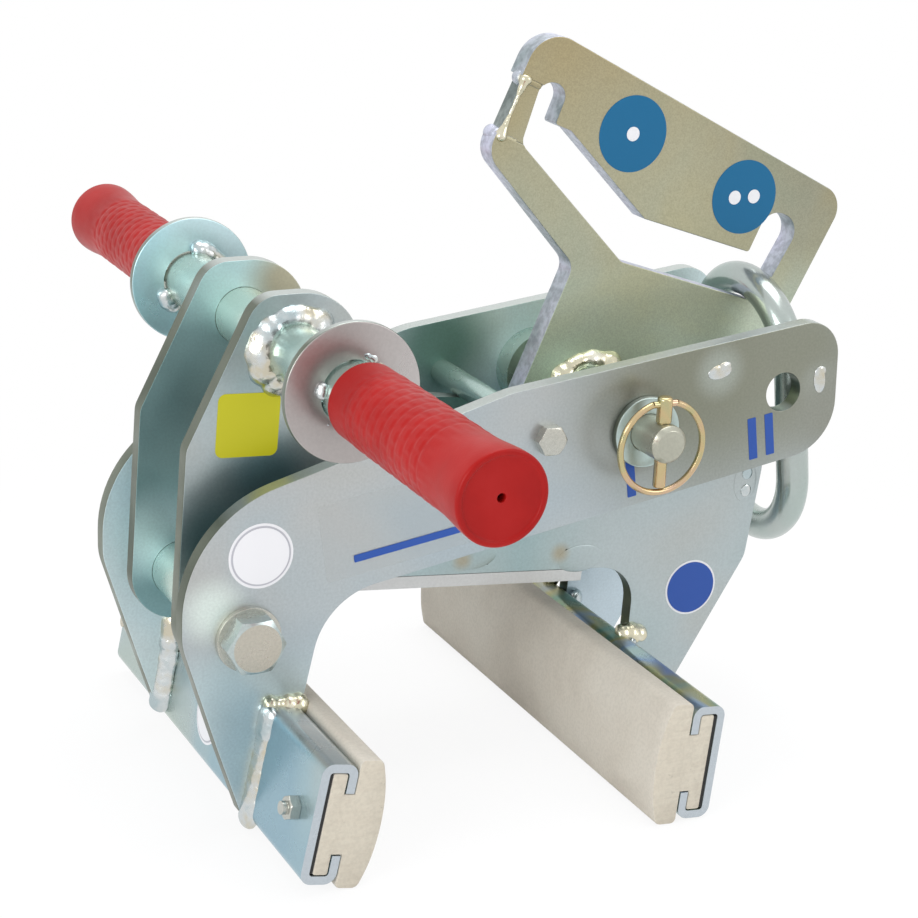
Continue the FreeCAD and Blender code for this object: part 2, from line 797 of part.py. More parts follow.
def jaw_screws(label, sign, corner, turn):
    """Two screws set in the pad, each with a nut on the channel's back."""
    screws = []
    for number, y in enumerate((-size("jaw_screw_place"), size("jaw_screw_place"))):
        name = "%s_%d" % (label, number)
        axis_turn = FreeCAD.Rotation(FreeCAD.Vector(0, 1, 0), -90.0 * sign)
        height = half("channel_height")
        shank = cylinder(
            name + "_shank", half("jaw_screw_dia"),
            size("jaw_screw_depth") + size("jaw_nut_height") + size("jaw_screw_end"),
            size("jaw_screw_depth") * sign, y, height, axis_turn,
        )
        nut = hexagon(
            name + "_nut", size("jaw_nut_flats"), size("jaw_nut_height"),
            ZERO, y, height, axis_turn,
        )
        screws.append(joined(name, [shank, nut]))
    pair = grouped(label, screws)
    place(pair, corner[0], ZERO, corner[1], turn)
    return pair


def screw_holes(label, sign):
    """Cutters for the screw holes of one jaw, in the jaw's own frame."""
    holes = []
    for number, y in enumerate((-size("jaw_screw_place"), size("jaw_screw_place"))):
        holes.append(
            cylinder(
                "%s_%d" % (label, number), half("jaw_screw_dia") + size("seat_gap"),
                size("jaw_screw_depth") + size("seat_gap") + size("cut_overrun"),
                (size("jaw_screw_depth") + size("seat_gap")) * sign, y, half("channel_height"),
                FreeCAD.Rotation(FreeCAD.Vector(0, 1, 0), -90.0 * sign),
            )
        )
    return grouped(label, holes)


def jaw(side, sign, corner, lean):
    """Channel, pad and screws of one jaw, drawn upright and then leaned into place."""
    turn = leaning(lean)
    profiles = (("channel", channel_profile(sign)), ("pad", pad_profile(sign)))
    for piece, profile in profiles:
        label = "%s_jaw_%s" % (side, piece)
        blank = padded_body(label + "_blank", profile, size("jaw_length"), -jaw_half)
        drilled = cut(label, blank, screw_holes(label + "_holes", sign))
        place(drilled, corner[0], ZERO, corner[1], turn)
    jaw_screws("%s_jaw_screws" % side, sign, corner, turn)


left_corner = (left_jaw_x, left_jaw_z)
right_corner = (right_jaw_x, right_jaw_z)
jaw("left", 1.0, left_corner, left_lean)
jaw("right", -1.0, right_corner, right_lean)


# Weld beads: triangular fillets between the plates and the channels' backs
BEAD_LENGTH_SHARE = 0.88
BEAD_START_SHARE = 0.06


def bead_pair(label, face, sign, corner, lean):
    """Two beads up the back of a channel, one against each plate's outer face."""
    leg = size("bead_leg")
    beads = []
    for side, across in (("front", -1.0), ("rear", 1.0)):
        corners = [
            (-size("seat_gap") * sign, face * across, None),
            (-(leg + size("seat_gap")) * sign, face * across, None),
            (-size("seat_gap") * sign, (face + leg) * across, None),
        ]
        bead = padded_body(
            "%s_%s" % (label, side), corners, size("channel_height") * BEAD_LENGTH_SHARE,
            size("channel_height") * BEAD_START_SHARE, role="XY_Plane",
        )
        place(bead, corner[0], ZERO, corner[1], leaning(lean))
        beads.append(bead)
    return grouped(label, beads)


left_jaw_welds = bead_pair(
    "left_jaw_welds", arm_outer + size("seat_gap"), 1.0, left_corner, left_lean
)
right_jaw_welds = bead_pair(
    "right_jaw_welds", frame_outer + size("seat_gap"), -1.0, right_corner, right_lean
)


# Suspension plate: corners from the pin, as shares of the plate's width and height
PLATE_SHARES = {
    "neck": (-0.061, 0.369),
    "left_kink": (-0.302, 0.675),
    "top_left": (-0.173, 1.0),
    "top_right": (0.698, 0.503),
    "lower_right": (0.505, 0.086),
    "foot": (0.084, -0.147),
}
PLATE_RADII = {
    "neck": "plate_neck_radius",
    "top_left": "plate_top_radius",
    "foot": "plate_foot_radius",
}
SLOT_SHARES = {
    "slot_left": (-0.213, 0.697),
    "left_hook_outer": (-0.168, 0.858),
    "left_hook_inner": (-0.099, 0.839),
    "left_lip": (-0.131, 0.744),
    "tongue_left": (-0.089, 0.725),
    "tongue_bottom": (0.124, 0.481),
    "tongue_tip": (0.426, 0.369),
    "right_hook_inner": (0.475, 0.489),
    "right_hook_outer": (0.574, 0.442),
    "ring_seat": (0.465, 0.225),
    "slot_bottom": (0.069, 0.369),
}
SLOT_RADII = {
    "slot_left": "slot_radius",
    "left_hook_outer": "left_hook_radius",
    "left_hook_inner": "left_hook_radius",
    "right_hook_inner": "right_hook_radius",
    "right_hook_outer": "right_hook_radius",
    "ring_seat": "slot_seat_radius",
    "slot_bottom": "slot_radius",
}


def plate_point(table, name):
    x_share, z_share = table[name]
    return pin[0] + size("plate_width") * x_share, pin[1] + size("plate_height") * z_share


def plate_outline():
    """The plate's outside, down to the toe that catches under the stop rod."""
    toe_top = stop[1] - half("stop_rod_dia") - size("toe_gap")
    toe_end = stop[0] - size("toe_length")
    corners = []
    for name in PLATE_SHARES:
        radius = size(PLATE_RADII.get(name, "plate_corner_radius"))
        corners.append(plate_point(PLATE_SHARES, name) + (radius,))
    corners.append((toe_end, toe_top - size("toe_height"), size("toe_radius")))
    corners.append((toe_end, toe_top, size("toe_radius")))
    corners.append((stop[0] + size("toe_root"), toe_top, size("toe_radius")))
    return corners


def slot_outline():
    """The through slot with a hook recess at each upper end."""
    corners = []
    for name in SLOT_SHARES:
        radius = size(SLOT_RADII.get(name, "slot_lip_radius"))
        corners.append(plate_point(SLOT_SHARES, name) + (radius,))
    return corners


plate_body = padded_body(
    "plate_blank", plate_outline(), size("plate_thickness"), -half("plate_thickness"),
    [pin + (half("hub_dia") + size("seat_gap"),)],
)
slot_body = padded_body(
    "slot_blank", slot_outline(), size("plate_thickness") + size("cut_overrun") * 2.0,
    -half("plate_thickness") - size("cut_overrun"),
)
slotted_plate = cut("slotted_plate", plate_body, slot_body)

# Bridge: a thinner block welded into the plate's left edge, beside the left hook
BRIDGE_START_SHARE = 0.171
kink = plate_point(PLATE_SHARES, "left_kink")
peak = plate_point(PLATE_SHARES, "top_left")
edge_length = hypotenuse(peak[0] - kink[0], peak[1] - kink[1])
edge_run = (peak[0] - kink[0]) / edge_length
edge_rise = (peak[1] - kink[1]) / edge_length
edge_turn = FreeCAD.Rotation(
    FreeCAD.Vector(0, 1, 0), math.degrees(math.atan2(edge_run.number, edge_rise.number))
)


def bridge_box(name, thickness, inset):
    """A box along the plate's left edge that starts at an inset from it."""
    return box(
        name, size("bridge_reach") - inset, thickness, size("bridge_length"),
        kink[0] + edge_length * BRIDGE_START_SHARE * edge_run + inset * edge_rise,
        -thickness * 0.5,
        kink[1] + edge_length * BRIDGE_START_SHARE * edge_rise - inset * edge_run,
        edge_turn,
    )


gap_thickness = size("plate_thickness") + size("cut_overrun") * 2.0
cut("suspension_plate", slotted_plate, bridge_box("bridge_gap", gap_thickness, -size("cut_overrun")))
common(
    "hook_bridge", slotted_plate,
    bridge_box("bridge_block", size("bridge_thickness"), size("bridge_inset")),
)
suspension_hub = turned_body(
    "suspension_hub",
    tube_profile(
        half("pin_dia") + size("running_gap"), half("hub_dia"), -size("hub_half"), size("hub_half")
    ),
)
place(suspension_hub, pin[0], ZERO, pin[1])


def ring_bead(name, axis, inner, foot, leg, sign):
    """A triangular weld bead round a tube, standing on a plate's face."""
    bead = turned_body(
        name,
        [
            (inner, foot * sign, None), (inner + leg, foot * sign, None),
            (inner, (foot + leg) * sign, None),
        ],
    )
    place(bead, axis[0], ZERO, axis[1])
    return bead


hub_beads = []
handle_beads = []
for bead_side, bead_sign in (("front", -1.0), ("rear", 1.0)):
    hub_beads.append(
        ring_bead(
            "hub_bead_" + bead_side, pin, half("hub_dia") + size("seat_gap"),
            half("plate_thickness") + size("seat_gap"), size("hub_bead_leg"), bead_sign,
        )
    )
    handle_beads.append(
        ring_bead(
            "handle_bead_" + bead_side, handle, handle_radius + size("seat_gap"),
            frame_outer + size("seat_gap"), size("handle_bead_leg"), bead_sign,
        )
    )
grouped("hub_welds", hub_beads)
grouped("handle_welds", handle_beads)

# Lifting ring: an oval link whose top bend rests in the slot's lower right corner
bar = half("ring_bar_dia")
bend_radius = half("ring_inner_width") + bar
straight = size("ring_inner_length") - size("ring_inner_width")
seat = plate_point(SLOT_SHARES, "ring_seat")
seat_left = plate_point(SLOT_SHARES, "slot_bottom")
seat_right = plate_point(SLOT_SHARES, "right_hook_outer")


def direction(start, end):
    length = hypotenuse(end[0] - start[0], end[1] - start[1])
    return (end[0] - start[0]) / length, (end[1] - start[1]) / length


# The bar touches both walls of the seat, so its axis lies on the line that halves the corner
to_left = direction(seat, seat_left)
to_right = direction(seat, seat_right)
corner_sine = to_right[0] * to_left[1] - to_right[1] * to_left[0]
seat_reach = (bar + size("ring_seat_gap")) / corner_sine
ring_x = seat[0] + (to_left[0] + to_right[0]) * seat_reach
ring_z = seat[1] + (to_left[1] + to_right[1]) * seat_reach

# Local axes of a bend: its bar's circle starts along Y, rises to Z and faces X
BEND_TURN = FreeCAD.Rotation(
    FreeCAD.Vector(0, 1, 0), FreeCAD.Vector(0, 0, 1), FreeCAD.Vector(1, 0, 0), "ZXY"
)
ring_pieces = []
for bend_name, bend_z, roll in (
    ("upper", -bend_radius, 0.0), ("lower", -bend_radius - straight, 180.0)
):
    bend = doc.addObject("Part::Torus", "ring_bend_" + bend_name)
    bind(bend, Radius1=bend_radius, Radius2=bar)
    bend.Angle3 = 180
    place(bend, ZERO, ZERO, bend_z, FreeCAD.Rotation(FreeCAD.Vector(1, 0, 0), roll) * BEND_TURN)
    ring_pieces.append(bend)
for limb_name, limb_y in (("front", -bend_radius), ("rear", bend_radius)):
    ring_pieces.append(
        cylinder(
            "ring_limb_" + limb_name, bar, straight, ZERO, limb_y, -bend_radius - straight,
            FreeCAD.Rotation(),
        )
    )
lifting_ring = joined("lifting_ring", ring_pieces)
place(lifting_ring, ring_x, ZERO, ring_z, leaning(-size("ring_tilt_angle")))

# Suspension pin through both side plates and the hub, with a washer in front
pin_radius = half("pin_dia")
pin_tail = arm_outer + size("side_gap")
pin_nose = arm_outer + size("pin_front_length")
pin_blank = turned_body(
    "pin_blank",
    [
        (ZERO, -pin_nose, None), (pin_radius - size("pin_chamfer"), -pin_nose, None),
        (pin_radius, size("pin_chamfer") - pin_nose, None), (pin_radius, pin_tail, None),
        (half("pin_head_dia"), pin_tail, None),
        (half("pin_head_dia"), pin_tail + size("pin_head_height"), None),
        (ZERO, pin_tail + size("pin_head_height"), None),
    ],
)
place(pin_blank, pin[0], ZERO, pin[1])
linch_y = -(arm_outer + size("linch_place"))
linch_hole = cylinder(
    "linch_hole", half("linch_dia") + size("seat_gap"),
    size("pin_dia") + size("cut_overrun") * 2.0,
    pin[0], linch_y, pin[1] - pin_radius - size("cut_overrun"), FreeCAD.Rotation(),
)
cut("suspension_pin", pin_blank, linch_hole)
pin_washer = turned_body(
    "pin_washer",
    tube_profile(
        pin_radius + size("seat_gap"), half("pin_washer_dia"),
        -arm_outer - size("side_gap") - size("pin_washer_thickness"),
        -arm_outer - size("side_gap"),
    ),
)
place(pin_washer, pin[0], ZERO, pin[1])

# Bosses welded to the side plates' inner faces, which lengthen the pin's bearing
bosses = []
for boss_side, boss_low in (("front", -arm_inner), ("rear", arm_inner - size("boss_height"))):
    boss = turned_body(
        "pin_boss_" + boss_side,
        tube_profile(
            pin_radius + size("running_gap"), half("boss_dia"),
            boss_low, boss_low + size("boss_height"),
        ),
    )
    place(boss, pin[0], ZERO, pin[1])
    bosses.append(boss)
grouped("pin_bosses", bosses)

# Linch pin: a leg through the pin's end, a head above, and a sprung wire ring hinged in the head
HINGE_HEIGHT_SHARE = 0.7
wire = half("linch_wire_dia")
loop_radius = half("linch_ring_dia") - wire
stub_start = half("linch_head_dia") + wire
head_low = pin[1] + pin_radius + size("linch_head_gap")
hinge_z = head_low + size("linch_head_height") * HINGE_HEIGHT_SHARE
open_angle = Value(
    math.degrees(math.asin(stub_start.number / loop_radius.number)),
    "asin(%s / %s)" % (stub_start.formula, loop_radius.formula),
)
loop_z = hinge_z - loop_radius * cosine(open_angle)
leg_low = loop_z - loop_radius + wire + size("linch_end_gap")
linch_leg = cylinder(
    "linch_leg", half("linch_dia"), head_low + size("linch_head_height") * 0.5 - leg_low,
    pin[0], linch_y, leg_low, FreeCAD.Rotation(),
)
linch_head = cylinder(
    "linch_head", half("linch_head_dia"), size("linch_head_height"),
    pin[0], linch_y, head_low, FreeCAD.Rotation(),
)
stub_bore = cylinder(
    "stub_bore", wire + size("running_gap"), size("linch_head_dia") + size("cut_overrun") * 2.0,
    pin[0] - half("linch_head_dia") - size("cut_overrun"), linch_y, hinge_z,
    FreeCAD.Rotation(FreeCAD.Vector(0, 1, 0), 90),
)
cut("linch_pin", joined("linch_blank", [linch_leg, linch_head]), stub_bore)
loop = doc.addObject("Part::Torus", "linch_loop")
bind(loop, Radius1=loop_radius, Radius2=wire)
loop.Angle3 = 360.0 - 2.0 * open_angle.number
loop.setExpression("Angle3", "360 deg - 2 * %s" % open_angle.formula)
loop_face = FreeCAD.Rotation(FreeCAD.Vector(1, 0, 0), 90)
loop_spin = FreeCAD.Rotation(FreeCAD.Vector(0, 0, 1), 90.0 + open_angle.number)
place(loop, pin[0], linch_y, loop_z, loop_face * loop_spin)
stubs = []
for stub_side, stub_x, stub_turn in (
    ("left", pin[0] - stub_start, 90.0), ("right", pin[0] + stub_start, -90.0)
):
    stubs.append(
        cylinder(
            "stub_" + stub_side, wire, wire + size("linch_stub_depth"), stub_x, linch_y, hinge_z,
            FreeCAD.Rotation(FreeCAD.Vector(0, 1, 0), stub_turn),
        )
    )
joined("linch_ring", [loop] + stubs)

doc.recompute()

NODES = [
    "inner_plate_front", "inner_plate_rear", "tie_plate", "end_tie", "rest_plate",
    "pivot_sleeve", "handle_tube", "hand_guard_front", "hand_guard_rear",
    "grip_front", "grip_rear", "handle_welds",
    "right_jaw_channel", "right_jaw_pad", "right_jaw_screws", "right_jaw_welds",
    "side_plate_front", "side_plate_rear", "pivot_bolt", "pivot_nut", "pivot_washers",
    "stop_rod", "stop_screws", "pin_bosses",
    "left_jaw_channel", "left_jaw_pad", "left_jaw_screws", "left_jaw_welds",
    "suspension_plate", "hook_bridge", "suspension_hub", "hub_welds", "lifting_ring",
    "suspension_pin", "pin_washer", "linch_pin", "linch_ring",
]

for item in doc.Objects:
    if "Invalid" in item.State or "Error" in item.State:
        raise RuntimeError("%s failed: %s" % (item.Name, item.State))

os.makedirs("parts", exist_ok=True)
for node in NODES:
    item = doc.getObject(node)
    if item.Shape.isNull() or not item.Shape.isValid() or not item.Shape.Solids:
        raise RuntimeError("%s has no valid solid" % node)
for node in NODES:
    item = doc.getObject(node)
    item.Label = node
    item.Shape.exportStep("parts/%s.step" % node)
    print("%s: %d solids, %.1f cm3" % (node, len(item.Shape.Solids), item.Shape.Volume / 1000.0))
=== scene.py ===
"""Self-clamping stone lifting tongs, dressed for a studio picture.

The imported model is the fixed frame. Plates and most other steel pieces are copies of its solids
with eased edges. Guards, bolt, pins, welds, rubber and stickers are modelled here. Lengths are
metres, X runs from the left jaw to the right jaw, Y along the handle, Z up, and the front is
towards -Y.
"""
import json
import math
import random

import bmesh
import bpy
from mathutils import Matrix, Quaternion, Vector

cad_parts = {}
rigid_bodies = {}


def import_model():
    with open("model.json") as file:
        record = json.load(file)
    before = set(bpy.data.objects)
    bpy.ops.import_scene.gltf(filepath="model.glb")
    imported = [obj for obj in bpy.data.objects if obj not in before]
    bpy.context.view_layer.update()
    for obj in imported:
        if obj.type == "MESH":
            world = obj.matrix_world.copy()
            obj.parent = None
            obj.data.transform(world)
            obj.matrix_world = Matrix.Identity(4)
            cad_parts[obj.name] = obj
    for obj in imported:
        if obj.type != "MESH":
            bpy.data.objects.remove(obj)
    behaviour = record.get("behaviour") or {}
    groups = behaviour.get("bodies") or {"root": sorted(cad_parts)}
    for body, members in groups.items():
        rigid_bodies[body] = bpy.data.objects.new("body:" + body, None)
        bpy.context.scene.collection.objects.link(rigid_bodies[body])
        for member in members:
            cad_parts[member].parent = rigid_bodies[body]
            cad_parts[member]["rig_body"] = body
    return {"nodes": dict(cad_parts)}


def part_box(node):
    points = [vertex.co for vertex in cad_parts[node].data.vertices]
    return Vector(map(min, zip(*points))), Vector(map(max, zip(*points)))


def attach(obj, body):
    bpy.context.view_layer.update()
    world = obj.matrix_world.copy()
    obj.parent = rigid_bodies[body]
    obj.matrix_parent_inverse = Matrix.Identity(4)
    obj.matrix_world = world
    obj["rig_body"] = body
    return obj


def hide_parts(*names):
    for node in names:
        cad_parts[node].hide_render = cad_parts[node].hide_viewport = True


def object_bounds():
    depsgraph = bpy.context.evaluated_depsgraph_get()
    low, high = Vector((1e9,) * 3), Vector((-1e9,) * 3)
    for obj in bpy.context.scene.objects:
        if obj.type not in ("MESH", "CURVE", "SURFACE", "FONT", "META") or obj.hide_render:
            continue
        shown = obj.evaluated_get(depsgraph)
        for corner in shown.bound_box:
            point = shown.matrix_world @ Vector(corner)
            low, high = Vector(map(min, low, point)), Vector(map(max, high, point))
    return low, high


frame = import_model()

cad_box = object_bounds()
scene = bpy.context.scene
scene.view_settings.view_transform = "Standard"


# Studio floor: a plain pale sheet under the object, which no body carries. It keeps the shadow
# near the object and fades to plain white away from it.
def set_inputs(tree, item, inputs):
    """Set a shader node's inputs, or link those that come from another node."""
    for key, value in inputs.items():
        if isinstance(value, bpy.types.NodeSocket):
            tree.links.new(value, item.inputs[key])
        else:
            item.inputs[key].default_value = value


def add_node(tree, kind, inputs=None, **settings):
    """A shader node with its settings and inputs."""
    item = tree.nodes.new(kind)
    for key, value in settings.items():
        setattr(item, key, value)
    set_inputs(tree, item, inputs or {})
    return item


def maths(tree, operation, first, second=0.0):
    """The outcome of an operation on two values."""
    return add_node(tree, "ShaderNodeMath", {0: first, 1: second}, operation=operation).outputs[0]


def spread(tree, value, low, high, to_low=0.0, to_high=1.0, kind="LINEAR"):
    """A value taken from one range to another."""
    return add_node(tree, "ShaderNodeMapRange", {
        "Value": value, "From Min": low, "From Max": high, "To Min": to_low, "To Max": to_high,
    }, interpolation_type=kind).outputs[0]


def seen_directly(tree):
    """One for rays that show the background: camera, mirror and glass rays."""
    rays = add_node(tree, "ShaderNodeLightPath").outputs
    mirror = maths(tree, "MAXIMUM", rays["Is Camera Ray"], rays["Is Glossy Ray"])
    return maths(tree, "MAXIMUM", mirror, rays["Is Transmission Ray"])


floor_reach = 5.0
shadow_start = 0.15
shadow_reach = 0.50
shadow_white = 0.88
floor_white = (0.93, 0.93, 0.935, 1.0)
plain_white = (1.0, 1.0, 1.0, 1.0)
floor_material = bpy.data.materials.new("pale_floor")
floor_material.use_nodes = True
tree = floor_material.node_tree
paper = tree.nodes["Principled BSDF"]
set_inputs(tree, paper, {"Base Color": floor_white, "Roughness": 0.95, "Specular IOR Level": 0.0})
spot = add_node(tree, "ShaderNodeTexCoord")
away = add_node(tree, "ShaderNodeVectorMath", {0: spot.outputs["Object"]}, operation="LENGTH")
fade = spread(tree, away.outputs["Value"], shadow_start, shadow_reach, shadow_white, kind="SMOOTHSTEP")
share = maths(tree, "MULTIPLY", fade, seen_directly(tree))
white = add_node(tree, "ShaderNodeEmission", {"Color": plain_white, "Strength": 1.0})
blend = add_node(tree, "ShaderNodeMixShader", {0: share, 1: paper.outputs[0], 2: white.outputs[0]})
set_inputs(tree, tree.nodes["Material Output"], {"Surface": blend.outputs[0]})
bm = bmesh.new()
bmesh.ops.create_grid(bm, x_segments=8, y_segments=8, size=floor_reach)
floor_mesh = bpy.data.meshes.new("studio_floor")
bm.to_mesh(floor_mesh)
bm.free()
floor_mesh.materials.append(floor_material)
floor = bpy.data.objects.new("studio_floor", floor_mesh)
scene.collection.objects.link(floor)

# Surround: the white room round the object. It is plain white where it is seen or mirrored,
# and it sheds a softer, slightly cool light on the object.
surround_light = 0.80
surround_tint = (0.97, 0.985, 1.0, 1.0)
world = bpy.data.worlds.new("white_surround")
scene.world = world
world.use_nodes = True
tree = world.node_tree
soft = tree.nodes["Background"]
set_inputs(tree, soft, {"Color": surround_tint, "Strength": surround_light})
plain = add_node(tree, "ShaderNodeBackground", {"Color": plain_white, "Strength": 1.0})
blend = add_node(tree, "ShaderNodeMixShader", {
    0: seen_directly(tree), 1: soft.outputs[0], 2: plain.outputs[0],
})
set_inputs(tree, tree.nodes["World Output"], {"Surface": blend.outputs[0]})

# Lamps: three soft boxes that aim at the object's middle. A large one hangs overhead, one
# stands to the right of the camera and one to its left.
middle = (cad_box[0] + cad_box[1]) * 0.5
for lamp_name, place, side, watts in (
    ("overhead_box", Vector((0.25, 0.15, 1.5)), 1.1, 12.0),
    ("right_box", Vector((1.0, -1.2, 0.9)), 0.8, 4.5),
    ("left_box", Vector((-1.25, -0.65, 0.65)), 0.7, 9.0),
):
    lamp = bpy.data.lights.new(lamp_name, "AREA")
    lamp.size = side
    lamp.energy = watts
    lamp_object = bpy.data.objects.new(lamp_name, lamp)
    lamp_object.location = place
    lamp_object.rotation_euler = (middle - place).to_track_quat("-Z", "Y").to_euler()
    scene.collection.objects.link(lamp_object)

# Camera: above the left jaw's front end, looking down along the jaws and rolled a little. Its
# place, lens and roll were fitted to the object's symmetric pairs.
camera_place = Vector((-0.47709, -0.89642, 0.48410))
camera_aim = Vector((-0.02085, 0.0, 0.14333))
camera_roll = math.radians(2.686)
camera = bpy.data.cameras.new("camera")
camera.lens = 87.25
camera.sensor_width = 36.0
camera_object = bpy.data.objects.new("camera", camera)
camera_object.location = camera_place
turn = (camera_aim - camera_place).to_track_quat("-Z", "Y") @ Quaternion((0.0, 0.0, 1.0), camera_roll)
camera_object.rotation_euler = turn.to_euler()
scene.collection.objects.link(camera_object)
scene.camera = camera_object


# Inner plates, with their tie bars and the stone rest: 8 mm laser cut steel, zinc plated.
# The faces carry soft blue-green tints with patches of painted shade and highlight. The rear plate
# is a painted lighter copy and the tie plate a painted darker one, and the cut edges are olive with
# a painted pale light where they face up.
def ramp(tree, value, stops):
    """A colour ramp with its stops given as (place, colour)."""
    item = add_node(tree, "ShaderNodeValToRGB", {0: value})
    band = item.color_ramp
    while len(band.elements) < len(stops):
        band.elements.new(0.5)
    for element, (place, colour) in zip(band.elements, stops):
        element.position = place
        element.color = colour + (1.0,)
    return item.outputs["Color"]


def even_stops(tints, low, high):
    """Tints spread evenly as the stops of a ramp."""
    return [(low + (high - low) * i / (len(tints) - 1), tint) for i, tint in enumerate(tints)]


def mixed(tree, factor, first, second, kind="MIX"):
    """Two colours mixed by a factor."""
    return add_node(tree, "ShaderNodeMix", {0: factor, 6: first, 7: second},
                    data_type="RGBA", blend_type=kind).outputs[2]


def clouds(tree, spot, scale, detail=3.0, distortion=0.0, stretch=None):
    """Noise on the object's own coordinates, stretched where a streak is wanted."""
    vector = spot.outputs["Object"]
    if stretch:
        vector = add_node(tree, "ShaderNodeMapping", {"Vector": vector, "Scale": stretch}).outputs[0]
    return add_node(tree, "ShaderNodeTexNoise", {
        "Vector": vector, "Scale": scale, "Detail": detail, "Roughness": 0.55, "Distortion": distortion,
    }).outputs["Fac"]


def facing(tree, spot, axis, low, high):
    """One where the surface faces along an axis, zero where it faces across it."""
    parts = add_node(tree, "ShaderNodeSeparateXYZ", {0: spot.outputs["Normal"]})
    return spread(tree, maths(tree, "ABSOLUTE", parts.outputs[axis]), low, high)


def near(tree, spot, place, inside, outside):
    """One close to a place, falling softly to zero away from it."""
    away = add_node(tree, "ShaderNodeVectorMath", {0: spot.outputs["Object"], 1: place},
                    operation="DISTANCE")
    return spread(tree, away.outputs["Value"], outside, inside, kind="SMOOTHSTEP")


def bumped(tree, spot, scale, detail, strength, distance, distortion=0.0):
    """Normals roughened by noise."""
    return add_node(tree, "ShaderNodeBump", {
        "Height": clouds(tree, spot, scale, detail, distortion), "Strength": strength, "Distance": distance,
    }).outputs[0]


def uneven_gloss(tree, spot, scale, detail, low, high):
    """A roughness that wanders between two values."""
    return spread(tree, clouds(tree, spot, scale, detail), 0.3, 0.7, low, high)


def new_finish(name, metallic):
    """A new material, with its node tree and its shader."""
    material = bpy.data.materials.new(name)
    material.use_nodes = True
    shader = material.node_tree.nodes["Principled BSDF"]
    shader.inputs["Metallic"].default_value = metallic
    return material, material.node_tree, shader


zinc_metal = 0.85
# Cut edges: olive bands that also paint reflections and shade on the edges, and a painted pale light for
# edges that face up.
cut_bands_and_shade = ((0.36, (0.09, 0.11, 0.08)), (0.52, (0.15, 0.17, 0.13)), (0.66, (0.27, 0.32, 0.30)))
cut_top_light = (0.49, 0.53, 0.51, 1.0)


def zinc_finish(name, tints, speck, rough, edges=False, stains_and_light=(), metal=zinc_metal, ends=None, tops=()):
    """Bright zinc: broad tints, fine specks, and soft patches, some of stain and some of painted light and
    shade. Cut edges, ends and tops may differ.
    """
    material, tree, shader = new_finish(name, metal)
    spot = add_node(tree, "ShaderNodeTexCoord")
    drift = clouds(tree, spot, scale=9.0, detail=2.0, distortion=0.6)
    colour = ramp(tree, drift, even_stops(tints, 0.34, 0.66))
    # Soft patches: some are real marks, the others paint shade, highlights and reflections.
    for place, inside, outside, tint in stains_and_light:
        colour = mixed(tree, near(tree, spot, place, inside, outside), colour, tint + (1.0,))
    # Cut edges: the olive bands with painted reflections and shade, turning to the painted top light where
    # they face up.
    if edges:
        bands = ramp(tree, clouds(tree, spot, scale=17.0, detail=2.0, distortion=0.4), cut_bands_and_shade)
        parts = add_node(tree, "ShaderNodeSeparateXYZ", {0: spot.outputs["Normal"]})
        edge = mixed(tree, spread(tree, parts.outputs["Z"], 0.72, 0.97), bands, cut_top_light)
        colour = mixed(tree, facing(tree, spot, "Y", low=0.55, high=0.85), edge, colour)
    if tops:
        drift = clouds(tree, spot, scale=26.0, detail=2.0, distortion=0.8)
        bands = ramp(tree, drift, even_stops(tops, 0.36, 0.64))
        colour = mixed(tree, facing(tree, spot, "Z", low=0.6, high=0.9), colour, bands)
    if ends:
        colour = mixed(tree, facing(tree, spot, "Y", low=0.6, high=0.9), colour, ends + (1.0,))
    specks = ramp(tree, clouds(tree, spot, scale=850.0, detail=2.0), [
        (0.35, (1.0 - speck,) * 3), (0.65, (1.0,) * 3),
    ])
    set_inputs(tree, shader, {
        "Base Color": mixed(tree, 1.0, colour, specks, "MULTIPLY"),
        "Roughness": uneven_gloss(tree, spot, scale=38.0, detail=4.0, low=rough - 0.06, high=rough + 0.08),
        "Normal": bumped(tree, spot, scale=420.0, detail=3.0, strength=0.07, distance=0.0004),
    })
    return material


def to_piece(bm, name, material, body, stands_for=(), sharp=38.0):
    """The finished mesh as an object that rides on a body and stands for the named solids."""
    crease = math.radians(sharp)
    for face in bm.faces:
        face.smooth = True
    for edge in bm.edges:
        edge.smooth = edge.calc_face_angle(0.0) < crease
    mesh = bpy.data.meshes.new(name)
    bm.to_mesh(mesh)
    bm.free()
    mesh.materials.append(material)
    piece = bpy.data.objects.new(name, mesh)
    scene.collection.objects.link(piece)
    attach(piece, body)
    if stands_for:
        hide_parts(*stands_for)
    return piece


weld_distance = 0.00001
flat_angle = math.radians(0.4)
rim_angle = math.radians(28.0)
edge_rounds = 2


def rounded(bm, geom, radius, segments, kind="EDGES"):
    """Edges or corners rounded off."""
    bmesh.ops.bevel(bm, geom=geom, offset=radius, offset_type="OFFSET", segments=segments, profile=0.5,
                    affect=kind, material=-1, clamp_overlap=True)


def eased(node, edge, material):
    """A merged copy of a solid whose sharp edges are rounded to the given radius."""
    source = frame["nodes"][node]
    bm = bmesh.new()
    bm.from_mesh(source.data)
    bmesh.ops.remove_doubles(bm, verts=bm.verts, dist=weld_distance)
    bmesh.ops.dissolve_limit(bm, angle_limit=flat_angle, verts=bm.verts, edges=bm.edges)
    if edge:
        rims = [item for item in bm.edges if item.calc_face_angle(0.0) > rim_angle]
        rounded(bm, rims, edge, edge_rounds)
    piece = to_piece(bm, node + "_finished", material, source["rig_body"], (node,))
    even = piece.modifiers.new("even_shading", "WEIGHTED_NORMAL")
    even.keep_sharp = True
    return piece


